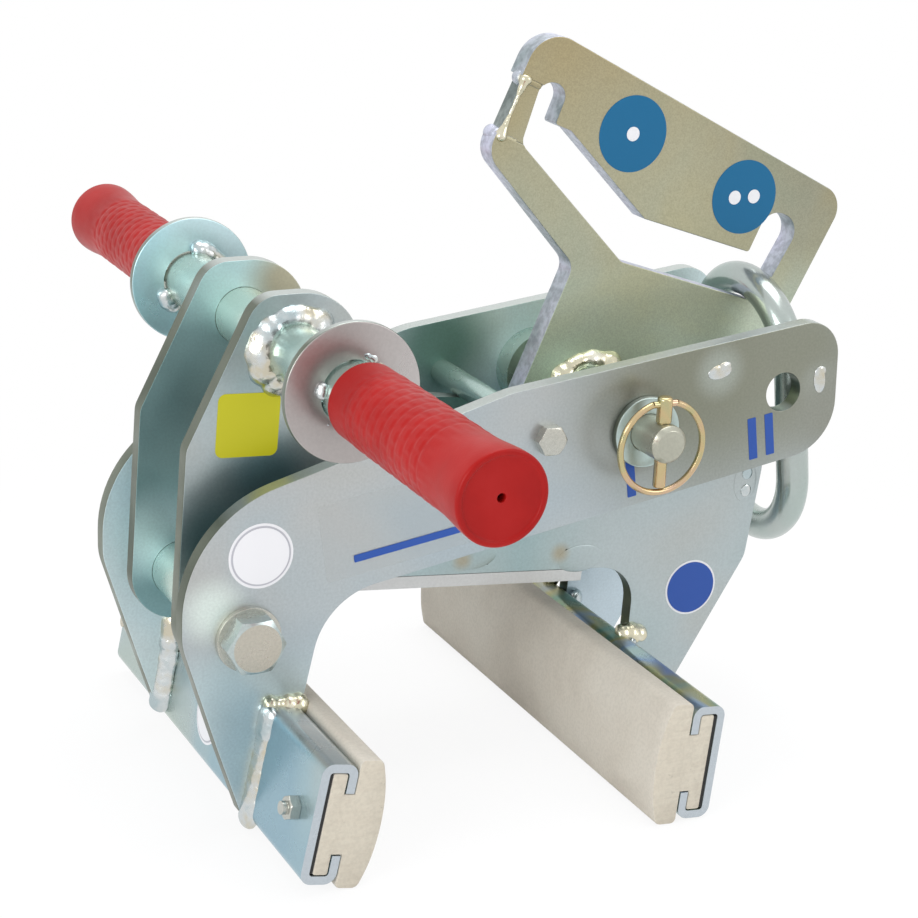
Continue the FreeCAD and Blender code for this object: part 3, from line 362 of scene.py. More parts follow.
plate_edge = 0.0006
seam_edge = 0.0002
inner_tints = ((0.36, 0.48, 0.50), (0.41, 0.50, 0.51), (0.45, 0.51, 0.52), (0.46, 0.49, 0.48))
# The rear inner plate's tints are a lighter, bluer copy of the front's: painted light.
rear_lit_tints = ((0.30, 0.50, 0.52), (0.36, 0.54, 0.54), (0.41, 0.55, 0.53))
rest_tints = ((0.58, 0.59, 0.59), (0.64, 0.65, 0.65))
# The tie plate's dark tints are painted shade, for its place deep between the plates.
tie_shade_tints = ((0.20, 0.27, 0.27), (0.26, 0.33, 0.32))
inner_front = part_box("inner_plate_front")[0].y
# Patches on the front inner plate: the two dark teal ones are painted shade, the gap between the plates
# mirrored on the lever. The two small tan ones are marks beside the tab welds.
inner_shade_and_stains = (
    (Vector((-0.133, inner_front, 0.157)), 0.006, 0.034, (0.13, 0.23, 0.25)),
    (Vector((-0.157, inner_front, 0.132)), 0.006, 0.032, (0.16, 0.27, 0.28)),
    (Vector((-0.0346, inner_front, 0.1064)), 0.001, 0.007, (0.40, 0.38, 0.30)),
    (Vector((0.0177, inner_front, 0.1030)), 0.001, 0.007, (0.40, 0.38, 0.30)),
)
rear_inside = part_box("inner_plate_rear")[0].y
# Patches on the rear inner plate: painted highlights and pale light, and one tan patch.
rear_highlights_and_stain = (
    (Vector((-0.121, rear_inside, 0.250)), 0.012, 0.072, (0.63, 0.87, 0.89)),
    (Vector((-0.101, rear_inside, 0.230)), 0.004, 0.026, (0.50, 0.47, 0.34)),
    (Vector((-0.166, rear_inside, 0.113)), 0.006, 0.030, (0.66, 0.84, 0.86)),
    (Vector((0.082, rear_inside, 0.046)), 0.020, 0.075, (0.56, 0.66, 0.72)),
)
inner_zinc = zinc_finish("inner_zinc", inner_tints, speck=0.08, rough=0.36, edges=True, stains_and_light=inner_shade_and_stains)
rear_lit_zinc = zinc_finish("rear_lit_zinc", rear_lit_tints, speck=0.08, rough=0.36, edges=True, stains_and_light=rear_highlights_and_stain)
rest_zinc = zinc_finish("rest_zinc", rest_tints, speck=0.06, rough=0.40)
tie_shaded_zinc = zinc_finish("tie_shaded_zinc", tie_shade_tints, speck=0.08, rough=0.40)
for node, edge, finish in (
    ("inner_plate_front", plate_edge, inner_zinc),
    ("inner_plate_rear", plate_edge, rear_lit_zinc),
    ("end_tie", plate_edge, inner_zinc),
    ("tie_plate", plate_edge, tie_shaded_zinc),
    ("rest_plate", seam_edge, rest_zinc),
):
    eased(node, edge, finish)

# Pivot sleeve and handle tube: smooth drawn tube, zinc plated, welded through both inner plates.
# The hand guards are thin punched discs tacked on the tube beside each grip.
corner_rounds = 4
long_rows = 20.0


def turned(outline, sides, row=None):
    """A closed outline of (radius, place along Y, rounding) turned about the Y axis."""
    bm = bmesh.new()
    corners = [bm.verts.new((radius, place, 0.0)) for radius, place, _ in outline]
    bm.faces.new(corners)
    for corner, (_, _, rounding) in zip(corners, outline):
        if rounding:
            rounded(bm, [corner], rounding, corner_rounds, "VERTICES")
    bmesh.ops.delete(bm, geom=bm.faces[:], context="FACES_ONLY")
    core = [edge for edge in bm.edges if max(vert.co.x for vert in edge.verts) < weld_distance]
    bmesh.ops.delete(bm, geom=core, context="EDGES")
    if row:
        for edge in [item for item in bm.edges if item.calc_length() > row * long_rows]:
            bmesh.ops.subdivide_edges(bm, edges=[edge], cuts=int(edge.calc_length() / row))
    bmesh.ops.spin(bm, geom=bm.verts[:] + bm.edges[:], cent=(0.0, 0.0, 0.0), axis=(0.0, 1.0, 0.0),
                   angle=math.tau, steps=sides, use_merge=True)
    bmesh.ops.remove_doubles(bm, verts=bm.verts, dist=weld_distance)
    bmesh.ops.recalc_face_normals(bm, faces=bm.faces)
    return bm


def node_axis(node):
    """Middle of a round node, as its place in X and Z."""
    low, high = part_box(node)
    return Vector(((low.x + high.x) * 0.5, 0.0, (low.z + high.z) * 0.5))


tube_edge = 0.0004
tube_tints = ((0.46, 0.60, 0.56), (0.53, 0.65, 0.58), (0.57, 0.62, 0.53))
zinc_tube = zinc_finish("zinc_tube", tube_tints, speck=0.06, rough=0.24)
eased("pivot_sleeve", tube_edge, zinc_tube)
eased("handle_tube", tube_edge, zinc_tube)
# The rear guard's pale tints paint a highlight on it.
rear_guard_highlight_tints = ((0.51, 0.76, 0.82), (0.57, 0.78, 0.83), (0.62, 0.75, 0.78))
warm_tints = ((0.365, 0.335, 0.325), (0.44, 0.41, 0.40), (0.52, 0.495, 0.485))
rear_guard_lit_zinc = zinc_finish("rear_guard_lit_zinc", rear_guard_highlight_tints, speck=0.06, rough=0.30, edges=True)
warm_zinc = zinc_finish("warm_zinc", warm_tints, speck=0.06, rough=0.30, edges=True)
handle_axis = node_axis("handle_tube")
tube_low, tube_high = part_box("handle_tube")
tube_radius = (tube_high.x - tube_low.x) * 0.5
guard_radius = 0.0304
guard_hole = tube_radius + 0.0008
guard_inset = 0.0007
guard_hole_round = 0.0003
guard_rim_round = 0.0006
guard_sides = 128
for node, finish in (("hand_guard_front", warm_zinc), ("hand_guard_rear", rear_guard_lit_zinc)):
    low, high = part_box(node)
    outline = [
        (guard_hole, low.y + guard_inset, guard_hole_round),
        (guard_radius, low.y + guard_inset, guard_rim_round),
        (guard_radius, high.y - guard_inset, guard_rim_round),
        (guard_hole, high.y - guard_inset, guard_hole_round),
    ]
    bm = turned(outline, guard_sides)
    bmesh.ops.translate(bm, verts=bm.verts, vec=handle_axis)
    to_piece(bm, node + "_punched", finish, "inner_frame", (node,))


# Welds at the handle: a lumpy bead round the tube on each inner plate's outer face, and tacks
# on both sides of each guard. All are plated over, so they glint like wet metal.
def weld_finish(name, tints):
    """Plated weld metal: bright, smooth lumps with straw or blue tints."""
    material, tree, shader = new_finish(name, 1.0)
    spot = add_node(tree, "ShaderNodeTexCoord")
    set_inputs(tree, shader, {
        "Base Color": ramp(tree, clouds(tree, spot, scale=70.0, detail=3.0), even_stops(tints, 0.36, 0.66)),
        "Roughness": uneven_gloss(tree, spot, scale=120.0, detail=3.0, low=0.14, high=0.34),
        "Normal": bumped(tree, spot, scale=260.0, detail=2.0, strength=0.3, distance=0.001, distortion=0.5),
    })
    return material


weld_metal = weld_finish("weld_metal", ((0.44, 0.52, 0.54), (0.60, 0.63, 0.63), (0.58, 0.54, 0.43)))
weld_voxel = 0.0006
puddle_length = 0.42
puddle_breadth = 0.5
ring_turn = math.tau * 0.95
blob_shift = 0.5


def ring_puddles(centre, radius, out_y, first, last, width, rise, draw,
                 spacing=0.3, uneven=0.12, shift=0.0):
    """Places of the puddles along an arc about the Y axis, on a face that looks along out_y."""
    count = max(2, round(abs(last - first) * radius / (width * spacing)))
    places = []
    for i in range(count + 1):
        angle = first + (last - first) * (i + draw.uniform(-shift, shift)) / count
        radial = Vector((math.cos(angle), 0.0, math.sin(angle)))
        tangent = Vector((-math.sin(angle), 0.0, math.cos(angle)))
        swell = draw.uniform(1.0 - uneven, 1.0 + uneven)
        outward = (radial + Vector((0.0, out_y, 0.0))).normalized()
        places.append((centre + radial * radius, tangent, outward, width * swell, rise * swell))
    return places


def lumpy_ring(centre, radius, out_y, base, blobs, spacing, uneven, draw):
    """Puddles of a ring weld: an even base with larger blobs on it, both given as (width, rise)."""
    arc = (centre, radius, out_y, 0.0, ring_turn)
    return ring_puddles(*arc, *base, draw) + ring_puddles(*arc, *blobs, draw, spacing, uneven, blob_shift)


def weld_bead(name, puddles, body, stands_for=(), material=weld_metal, flow=10):
    """Overlapping flattened puddles melted into one lumpy bead."""
    bm = bmesh.new()
    for centre, tangent, outward, width, rise in puddles:
        flat = (outward - tangent * outward.dot(tangent)).normalized()
        across = flat.cross(tangent)
        turn = Matrix((tangent, across, flat)).transposed().to_4x4()
        shape = Matrix.Diagonal((width * puddle_length, width * puddle_breadth, rise, 1.0))
        bmesh.ops.create_icosphere(bm, subdivisions=2, radius=1.0,
                                   matrix=Matrix.Translation(centre) @ turn @ shape)
    piece = to_piece(bm, name, material, body, stands_for)
    melt = piece.modifiers.new("melted", "REMESH")
    melt.mode = "VOXEL"
    melt.voxel_size = weld_voxel
    melt.use_smooth_shade = True
    ease = piece.modifiers.new("flowed", "SMOOTH")
    ease.factor = 0.5
    ease.iterations = flow
    return piece


inner_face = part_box("inner_plate_rear")[1].y
handle_seat = tube_radius + 0.0035
handle_base = (0.0115, 0.0034)
handle_blobs = (0.0165, 0.0048)
handle_spacing = 0.56
handle_uneven = 0.25
handle_flow = 24
draw = random.Random(11)
puddles = []
for side in (-1.0, 1.0):
    centre = handle_axis + Vector((0.0, side * inner_face, 0.0))
    puddles += lumpy_ring(centre, handle_seat, side, handle_base, handle_blobs,
                          handle_spacing, handle_uneven, draw)
weld_bead("handle_weld_rings", puddles, "inner_frame", ("handle_welds",), flow=handle_flow)

lever_angles = (0.55, 1.2, 3.8, 5.3)
lever_tack = (tube_radius + 0.002, 0.2, 0.010, 0.0040)
grip_angles = (0.4, 2.95)
grip_tack = (tube_radius + 0.001, 0.1, 0.006, 0.0026)
for guard, side in (("hand_guard_front", -1.0), ("hand_guard_rear", 1.0)):
    low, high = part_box(guard)
    near_face, far_face = sorted((abs(low.y), abs(high.y)))
    puddles = []
    for face, out_y, angles, (seat, half_span, width, rise) in (
        (near_face, -side, lever_angles, lever_tack),
        (far_face, side, grip_angles, grip_tack),
    ):
        centre = handle_axis + Vector((0.0, face * side, 0.0))
        for angle in angles:
            puddles += ring_puddles(centre, seat, out_y, angle - half_span, angle + half_span,
                                    width, rise, draw)
    weld_bead(guard + "_tacks", puddles, "inner_frame")


# Grips: red moulded rubber sleeves pushed on the tube, with rows of soft raised pads along the
# middle, a smooth start beside the guard and a flared end that has a rim and a vent hole.
def grip_finish():
    """Red rubber, a little uneven in tone and gloss."""
    material, tree, shader = new_finish("grip_rubber", 0.0)
    spot = add_node(tree, "ShaderNodeTexCoord")
    colour = ramp(tree, clouds(tree, spot, scale=26.0, detail=4.0), [
        (0.35, (0.275, 0.003, 0.0025)), (0.55, (0.33, 0.005, 0.004)), (0.72, (0.36, 0.009, 0.008)),
    ])
    set_inputs(tree, shader, {
        "Base Color": colour,
        "Roughness": uneven_gloss(tree, spot, scale=60.0, detail=3.0, low=0.33, high=0.47),
        "Normal": bumped(tree, spot, scale=900.0, detail=3.0, strength=0.15, distance=0.0003),
        "Specular IOR Level": 0.19,
    })
    return material


def eased_step(value, low, high):
    """Zero below low, one above high, and a soft rise between."""
    share = min(1.0, max(0.0, (value - low) / (high - low)))
    return share * share * (3.0 - 2.0 * share)


grip_rubber = grip_finish()
grip_sides = 180
grip_row = 0.0006
grip_fit = 0.00005
grip_bore = tube_radius + grip_fit
grip_start_gap = 0.0045
grip_body_radius = 0.0170
grip_flare_radius = 0.0189
grip_flare_length = 0.026
grip_start_round = 0.0015
grip_flare_round = 0.008
grip_lip_length = 0.005
grip_lip_round = 0.003
grip_end_round = 0.0012
grip_rim = 0.0022
grip_dish = 0.0007
grip_dish_slope = 0.0006
grip_dish_fall = 0.0004
grip_dish_round = 0.0004
grip_skin = 0.0002
grip_vent_radius = 0.0018
pads_round = 16
pad_pitch = 0.0066
pad_rise = 0.00034
pad_slope = 0.0020
pad_fade = 0.006
smooth_start = 0.012
smooth_end = grip_flare_length - 0.002
for node, side in (("grip_front", -1.0), ("grip_rear", 1.0)):
    low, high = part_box(node)
    start = min(abs(low.y), abs(high.y)) + grip_start_gap
    end = max(abs(low.y), abs(high.y))
    cap = tube_high.y + grip_fit
    outline = [
        (grip_bore, side * start, 0.0),
        (grip_body_radius, side * start, grip_start_round),
        (grip_body_radius, side * (end - grip_flare_length), grip_flare_round),
        (grip_flare_radius, side * (end - grip_lip_length), grip_lip_round),
        (grip_flare_radius, side * end, grip_end_round),
        (grip_flare_radius - grip_rim, side * end, grip_dish_round),
        (grip_flare_radius - grip_rim - grip_dish_slope, side * (end - grip_dish), grip_dish_round),
        (grip_vent_radius, side * (end - grip_dish - grip_dish_fall), grip_dish_round),
        (grip_vent_radius, side * cap, 0.0),
        (grip_bore, side * cap, 0.0),
    ]
    bm = turned(outline, grip_sides, grip_row)
    rows_start = start + smooth_start
    rows_end = end - smooth_end
    round_pitch = math.tau * grip_body_radius / pads_round
    for vert in bm.verts:
        radius = math.hypot(vert.co.x, vert.co.z)
        place = abs(vert.co.y)
        if radius < grip_body_radius - grip_skin or not rows_start < place < rows_end:
            continue
        row = (place - rows_start) / pad_pitch
        around = math.atan2(vert.co.z, vert.co.x) / math.tau * pads_round + 0.5 * (math.floor(row) % 2)
        to_side = (0.5 - abs(around - math.floor(around) - 0.5)) * round_pitch
        to_end = (0.5 - abs(row - math.floor(row) - 0.5)) * pad_pitch
        inside = eased_step(to_side, 0.0, pad_slope) * eased_step(to_end, 0.0, pad_slope)
        lift = pad_rise * inside * eased_step(min(place - rows_start, rows_end - place), 0.0, pad_fade)
        vert.co.x *= 1.0 + lift / radius
        vert.co.z *= 1.0 + lift / radius
    bmesh.ops.translate(bm, verts=bm.verts, vec=handle_axis)
    to_piece(bm, node + "_moulded", grip_rubber, "inner_frame", (node,))

# Jaw channels: folded 4 mm sheet with two lips, zinc plated, bluer than the plates. The screws
# that hold the pads show as a nut and a screw end on each channel's back.
channel_tints = ((0.28, 0.43, 0.51), (0.34, 0.48, 0.53), (0.41, 0.50, 0.51), (0.43, 0.51, 0.45))
channel_end = (0.50, 0.55, 0.59)
# Up-facing tints: the left channel's pale ones are painted light on its top, and the right channel's are
# its rainbow passivation.
channel_tops = {
    "left": ((0.40, 0.45, 0.46), (0.50, 0.53, 0.52)),
    "right": ((0.16, 0.30, 0.24), (0.36, 0.34, 0.16), (0.24, 0.34, 0.52), (0.42, 0.52, 0.50)),
}
hardware_tints = ((0.46, 0.48, 0.45), (0.55, 0.54, 0.48), (0.57, 0.53, 0.42))
zinc_hardware = zinc_finish("zinc_hardware", hardware_tints, speck=0.10, rough=0.24)
channel_edge = 0.0004
screw_edge = 0.0003
for jaw, tops in channel_tops.items():
    zinc_channel = zinc_finish(jaw + "_channel_zinc", channel_tints, speck=0.06, rough=0.28,
                               ends=channel_end, tops=tops)
    eased(jaw + "_jaw_channel", channel_edge, zinc_channel)
    eased(jaw + "_jaw_screws", screw_edge, zinc_hardware)


# Jaw pads: cream rubber strips of T section slid into the channels, with a crowned face for
# the stone. The ends are saw cut, warmer than the handled faces, and a little chipped.
def pad_finish():
    """Cream rubber: clouded on the handled faces, streaked and chipped on the cut ends."""
    material, tree, shader = new_finish("pad_rubber", 0.0)
    spot = add_node(tree, "ShaderNodeTexCoord")
    handled = ramp(tree, clouds(tree, spot, scale=17.0, detail=5.0, distortion=0.3), [
        (0.30, (0.47, 0.43, 0.37)), (0.5, (0.565, 0.525, 0.455)), (0.7, (0.61, 0.575, 0.505)),
    ])
    cut = ramp(tree, clouds(tree, spot, scale=1.0, stretch=(60.0, 60.0, 600.0)), [
        (0.3, (0.535, 0.485, 0.40)), (0.7, (0.575, 0.53, 0.44)),
    ])
    chips = ramp(tree, clouds(tree, spot, scale=210.0, detail=3.0), [
        (0.67, (1.0,) * 3), (0.73, (0.68,) * 3),
    ])
    cut = mixed(tree, 1.0, cut, chips, "MULTIPLY")
    colour = mixed(tree, facing(tree, spot, "Y", low=0.6, high=0.9), handled, cut)
    specks = ramp(tree, clouds(tree, spot, scale=700.0, detail=2.0), [
        (0.36, (0.92,) * 3), (0.6, (1.0,) * 3),
    ])
    set_inputs(tree, shader, {
        "Base Color": mixed(tree, 1.0, colour, specks, "MULTIPLY"),
        "Roughness": 0.72,
        "Normal": bumped(tree, spot, scale=500.0, detail=4.0, strength=0.2, distance=0.0005),
        "Specular IOR Level": 0.25,
    })
    return material


pad_rubber = pad_finish()
channel_height = 0.056
channel_depth = 0.017
channel_wall = 0.004
channel_lip = 0.0135
pad_slack = 0.0016
pad_gap = 0.0004
pad_overhang = 0.002
pad_edge_depth = 0.028
pad_crown = 0.0376
pad_crown_reach = 0.0249
pad_crown_rounds = 14
pad_corner = 0.0025
pad_root = 0.0012
pad_end_round = 0.0007
pad_slices = 60
pad_run = 0.1
jaws = {
    "left": (Vector((-0.15135, 0.0, 0.00691)), 1.0, math.radians(10.8), "lifting_arm"),
    "right": (Vector((0.05365, 0.0, 0.000173)), -1.0, math.radians(5.3), "inner_frame"),
}


def jaw_point(jaw, depth, height, y=0.0):
    """A place on a jaw: depth from the channel's back towards the stone, height up that back."""
    corner, sign, lean, _ = jaws[jaw]
    x = corner.x + sign * depth * math.cos(lean) + height * math.sin(lean)
    z = corner.z - sign * depth * math.sin(lean) + height * math.cos(lean)
    return Vector((x, y, z))


def drawn_out(bm, length):
    """A mesh of one face drawn out along Y to a closed prism."""
    drawn = bmesh.ops.extrude_face_region(bm, geom=bm.faces[:])
    moved = [item for item in drawn["geom"] if isinstance(item, bmesh.types.BMVert)]
    bmesh.ops.translate(bm, verts=moved, vec=(0.0, length, 0.0))
    bmesh.ops.recalc_face_normals(bm, faces=bm.faces)


for jaw, (_, _, _, body) in jaws.items():
    node = jaw + "_jaw_pad"
    low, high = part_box(node)
    back = channel_wall + pad_slack
    front = channel_depth - channel_wall - pad_gap
    face = channel_depth + pad_gap
    neck = channel_lip + pad_gap
    foot = channel_wall + pad_gap
    outline = [
        (back, foot, pad_root), (front, foot, pad_root), (front, neck, 0.0), (face, neck, 0.0),
        (face, -pad_overhang, pad_corner), (pad_edge_depth, -pad_overhang, pad_corner),
        (pad_crown, channel_height * 0.5, pad_crown_reach),
        (pad_edge_depth, channel_height + pad_overhang, pad_corner),
        (face, channel_height + pad_overhang, pad_corner), (face, channel_height - neck, 0.0),
        (front, channel_height - neck, 0.0), (front, channel_height - foot, pad_root),
        (back, channel_height - foot, pad_root),
    ]
    bm = bmesh.new()
    corners = [bm.verts.new(jaw_point(jaw, depth, height, low.y)) for depth, height, _ in outline]
    bm.faces.new(corners)
    for corner, (_, _, reach) in zip(corners, outline):
        if reach:
            segments = pad_crown_rounds if reach == pad_crown_reach else corner_rounds
            rounded(bm, [corner], reach, segments, "VERTICES")
    drawn_out(bm, high.y - low.y)
    rims = [edge for edge in bm.edges if abs(edge.verts[0].co.y - edge.verts[1].co.y) < weld_distance]
    rounded(bm, rims, pad_end_round, edge_rounds)
    runs = [edge for edge in bm.edges if edge.calc_length() > pad_run]
    bmesh.ops.subdivide_edges(bm, edges=runs, cuts=pad_slices, use_grid_fill=True)
    to_piece(bm, node + "_moulded", pad_rubber, body, (node,))

# Pad gap shade: a black sheet in the gap between each pad's back and its channel, painted shade
# for the deep gap. It is seen only as a dark line at the pads' ends.
shade_sheet_inset = 0.0004
shade_sheet_gap = 0.00005
shade_sheet_margin = 0.0010
gap_shade_black, tree, shader = new_finish("pad_gap_shade", 0.0)
set_inputs(tree, shader, {"Base Color": (0.012, 0.012, 0.012, 1.0), "Roughness": 0.7})
for jaw, (_, _, _, body) in jaws.items():
    low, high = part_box(jaw + "_jaw_pad")
    first = channel_wall + shade_sheet_gap
    last = channel_wall + pad_slack - shade_sheet_gap
    foot = channel_wall + shade_sheet_margin
    top = channel_height - foot
    outline = ((first, foot), (last, foot), (last, top), (first, top))
    bm = bmesh.new()
    bm.faces.new([bm.verts.new(jaw_point(jaw, *corner, low.y + shade_sheet_inset)) for corner in outline])
    drawn_out(bm, high.y - low.y - shade_sheet_inset * 2.0)
    to_piece(bm, jaw + "_pad_gap_shade", gap_shade_black, body)


# Jaw welds: the side plates' tips and the inner plates' legs are welded to the channels' backs,
# with a broad flat bead up each face of a plate that ends in a bulb, and a straw coloured run
# across the channel's top.
def line_puddles(start, end, outward, width, rise, draw, spacing=0.3, uneven=0.08):
    """Places of the puddles along a straight weld run."""
    along = end - start
    count = max(1, round(along.length / (width * spacing)))
    tangent = along.normalized()
    places = []
    for i in range(count + 1):
        swell = draw.uniform(1.0 - uneven, 1.0 + uneven)
        places.append((start + along * (i / count), tangent, outward, width * swell, rise * swell))
    return places


side_low, side_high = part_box("side_plate_rear")
jaw_seats = {
    "left": (side_high.y, side_low.y, 0.001, 0.0145, 0.002),
    "right": (inner_face, rear_inside, -0.006, 0.004, 0.008),
}
bead = (0.0122, 0.0022)
bulb = (0.0128, 0.0034)
bead_outside = 0.0040
bead_inside = 0.0016
front_heights = (0.019, 0.051)
rear_heights = (0.008, 0.042)
rear_foot = 0.010
inner_top = 0.050
inner_depths = (-0.0035, -0.0045, -0.0050)
bead_short = 0.001
bulb_length = 0.007
inner_bulb_length = 0.010
bead_lean = 3.0
run_width = 0.0104
run_rise = 0.0038
run_spacing = 0.42
run_uneven = 0.3
run_outside = 0.0015
run_climb = 0.0005
rear_run_start = 0.005
run_flow = 11
gold_weld = weld_finish("gold_weld", ((0.46, 0.46, 0.36), (0.66, 0.62, 0.46), (0.74, 0.72, 0.62)))
draw = random.Random(23)
for jaw, (outer_y, inner_y, run_start, run_end, front_foot) in jaw_seats.items():
    back_out = jaw_point(jaw, -1.0, 0.0) - jaw_point(jaw, 0.0, 0.0)
    puddles = []
    runs = []
    for side in (-1.0, 1.0):
        front = side < 0.0
        foot = front_foot if front else rear_foot
        inner_foot, top = front_heights if front else rear_heights
        beside = Vector((0.0, side, 0.0))
        outer = (side * (outer_y + bead_outside), back_out * bead_lean + beside)
        inner = (side * (inner_y - bead_inside), back_out - beside)
        for (y, outward), start, end, size in (
            (outer, (0.0, foot), (0.0, top - bead_short), bead),
            (outer, (0.0, top - bulb_length), (0.0, top), bulb),
            (inner, (inner_depths[0], inner_foot), (inner_depths[1], inner_top), bead),
            (inner, (inner_depths[1], inner_top - inner_bulb_length), (inner_depths[2], inner_top), bulb),
        ):
            puddles += line_puddles(jaw_point(jaw, *start, y), jaw_point(jaw, *end, y),
                                    outward, *size, draw)
        run_y = side * (outer_y + run_outside)
        runs += line_puddles(jaw_point(jaw, run_start if front else rear_run_start, channel_height, run_y),
                             jaw_point(jaw, run_end, channel_height + run_climb, run_y),
                             Vector((0.0, side, 1.0)), run_width, run_rise, draw, run_spacing, run_uneven)
    body = jaws[jaw][3]
    weld_bead(jaw + "_jaw_beads", puddles, body, (jaw + "_jaw_welds",))
    weld_bead(jaw + "_jaw_top_runs", runs, body, (), gold_weld, run_flow)


# Tab welds: the tie plate's and end tie's tabs come through slots in the inner plates and are
# plug welded from outside and ground, which leaves a low smooth mound on each outer face.
def mounds(name, places, material, body):
    """Low smooth mounds, each given as (centre, half size, tilt about Y), that rise along Y."""
    bm = bmesh.new()
    for centre, half, tilt in places:
        shape = Matrix.Translation(centre) @ Matrix.Rotation(-tilt, 4, "Y") @ Matrix.Diagonal(half + (1.0,))
        bmesh.ops.create_uvsphere(bm, u_segments=40, v_segments=20, radius=1.0, matrix=shape)
    return to_piece(bm, name, material, body)


tab_mound = (0.0125, 0.0006, 0.0068)
end_mound = (0.0065, 0.0006, 0.0105)
tab_shares = (0.2, 0.8)
lump_rise = 0.0011
end_lump = (0.0030, lump_rise, 0.0034)
end_lump_heights = (-0.0045, 0.0045)
end_lump_shift = 0.0005
end_lump_lift = 0.0004
tie_low, tie_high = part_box("tie_plate")
end_low, end_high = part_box("end_tie")
mound_places = []
lump_places = []
for side in (-1.0, 1.0):
    for share in tab_shares:
        tab_x = tie_low.x + (tie_high.x - tie_low.x) * share
        tab_z = tie_high.z + (tie_low.z - tie_high.z) * share
        mound_places.append((Vector((tab_x, side * inner_face, tab_z)), tab_mound, 0.0))
    end_middle = (end_low + end_high) * 0.5
    end_middle.y = side * inner_face
    mound_places.append((end_middle, end_mound, 0.0))
    for height in end_lump_heights:
        shift = Vector((end_lump_shift, side * end_lump_lift, height))
        lump_places.append((end_middle + shift, end_lump, 0.0))
mounds("tie_plug_mounds", mound_places, inner_zinc, "inner_frame")
mounds("end_tie_lumps", lump_places, weld_metal, "inner_frame")


# Lifting arm: two side plates like the inner ones, held by the pivot bolt with its nut and
# washers and by the stop rod with a screw at each end. The bosses are turned rings inside.
def hexagon(bm, axis, base_y, top_y, flats, turn):
    """A hexagon head between two places along Y, chamfered to a round face."""
    sides = 96
    face_radius = flats * 0.465
    half_corner = math.radians(30.0)
    out = math.copysign(1.0, top_y - base_y)
    rings = ([], [], [])
    for i in range(sides):
        angle = math.tau * i / sides
        reach = flats * 0.5 / math.cos(angle % (half_corner * 2.0) - half_corner)
        drop = (reach - face_radius) * math.tan(half_corner)
        radial = Vector((math.cos(angle + turn), 0.0, math.sin(angle + turn)))
        for ring, radius, y in zip(rings, (reach, reach, face_radius), (base_y, top_y - out * drop, top_y)):
            ring.append(bm.verts.new(axis + radial * radius + Vector((0.0, y, 0.0))))
    for lower, upper in zip(rings, rings[1:]):
        for i in range(sides):
            j = (i + 1) % sides
            bm.faces.new((lower[i], lower[j], upper[j], upper[i]))
    bm.faces.new(rings[0])
    bm.faces.new(rings[2])


pin_axis = node_axis("suspension_hub")
side_face = side_high.y
wide_plug = Vector((0.0832, 0.0, 0.1944))
tall_plug = Vector((0.1404, 0.0, 0.1832))
front_face = Vector((0.0, -side_face, 0.0))
side_tints = ((0.42, 0.49, 0.53), (0.46, 0.51, 0.53), (0.49, 0.51, 0.51), (0.48, 0.48, 0.45))
# Patches on the front side plate: the darker olive ones round the pin and at the right end are painted
# reflection and shade. The pale ones at the lower left and near the left edge are painted light and a
# highlight. The two round the plug welds are ground patches.
side_light_and_stains = (
    (pin_axis + Vector((0.035, -side_face, 0.030)), 0.020, 0.105, (0.25, 0.26, 0.205)),
    (pin_axis + Vector((0.085, -side_face, 0.025)), 0.010, 0.060, (0.27, 0.28, 0.225)),
    (wide_plug + front_face, 0.004, 0.017, (0.37, 0.40, 0.355)),
    (tall_plug + front_face, 0.003, 0.014, (0.37, 0.40, 0.355)),
    (Vector((-0.135, -side_face, 0.040)), 0.015, 0.060, (0.55, 0.66, 0.68)),
    (Vector((-0.162, -side_face, 0.067)), 0.008, 0.034, (0.56, 0.66, 0.68)),
    (Vector((-0.167, -side_face, 0.109)), 0.004, 0.020, (0.72, 0.80, 0.76)),
    (Vector((0.150, -side_face, 0.172)), 0.008, 0.036, (0.30, 0.31, 0.27)),
)
# The rear side plate is a lighter, less metallic copy of the side zinc: painted light. Its dark teal patch
# by the stop rod is painted shade.
far_lit_tints = ((0.58, 0.72, 0.76), (0.63, 0.75, 0.77), (0.68, 0.75, 0.75))
far_shade = ((Vector((-0.008, side_low.y, 0.1845)), 0.008, 0.042, (0.15, 0.27, 0.23)),)
far_lit_metal = 0.45
side_zinc = zinc_finish("side_zinc", side_tints, speck=0.09, rough=0.36, edges=True, stains_and_light=side_light_and_stains)
far_lit_zinc = zinc_finish("far_lit_zinc", far_lit_tints, speck=0.09, rough=0.40, edges=True, stains_and_light=far_shade,
                       metal=far_lit_metal)
eased("side_plate_front", plate_edge, side_zinc)
eased("side_plate_rear", plate_edge, far_lit_zinc)
hardware_edge = 0.0004
for node in ("pivot_nut", "pivot_washers", "stop_screws"):
    eased(node, hardware_edge, zinc_hardware)
bolt_low, bolt_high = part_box("pivot_bolt")
bolt_axis = node_axis("pivot_washers")
bolt_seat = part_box("pivot_washers")[0].y
bolt_radius = 0.008
bolt_flats = 0.024
bolt_crease = 20.0
bolt_face_inside = bolt_flats * 0.45
bolt_face_outside = bolt_flats * 0.47
bolt_tints = ((0.42, 0.50, 0.50), (0.50, 0.56, 0.55), (0.55, 0.57, 0.53))
bolt_end = bolt_axis + Vector((0.0, bolt_low.y, 0.0))
bolt_face = (bolt_end, bolt_face_inside, bolt_face_outside, (0.53, 0.50, 0.43))
bolt_zinc = zinc_finish("bolt_zinc", bolt_tints, speck=0.10, rough=0.26, stains_and_light=(bolt_face,))
thread_pitch = 0.002
thread_depth = 0.0011
thread_hidden = 0.004
thread_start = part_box("pivot_nut")[1].y - thread_hidden
outline = [(0.0, bolt_seat, 0.0), (bolt_radius, bolt_seat, 0.0), (bolt_radius, thread_start, 0.0)]
crest = thread_start + thread_pitch * 0.5
while crest + thread_pitch < bolt_high.y:
    outline.append((bolt_radius - thread_depth, crest, 0.0))
    outline.append((bolt_radius, crest + thread_pitch * 0.5, 0.0))
    crest += thread_pitch
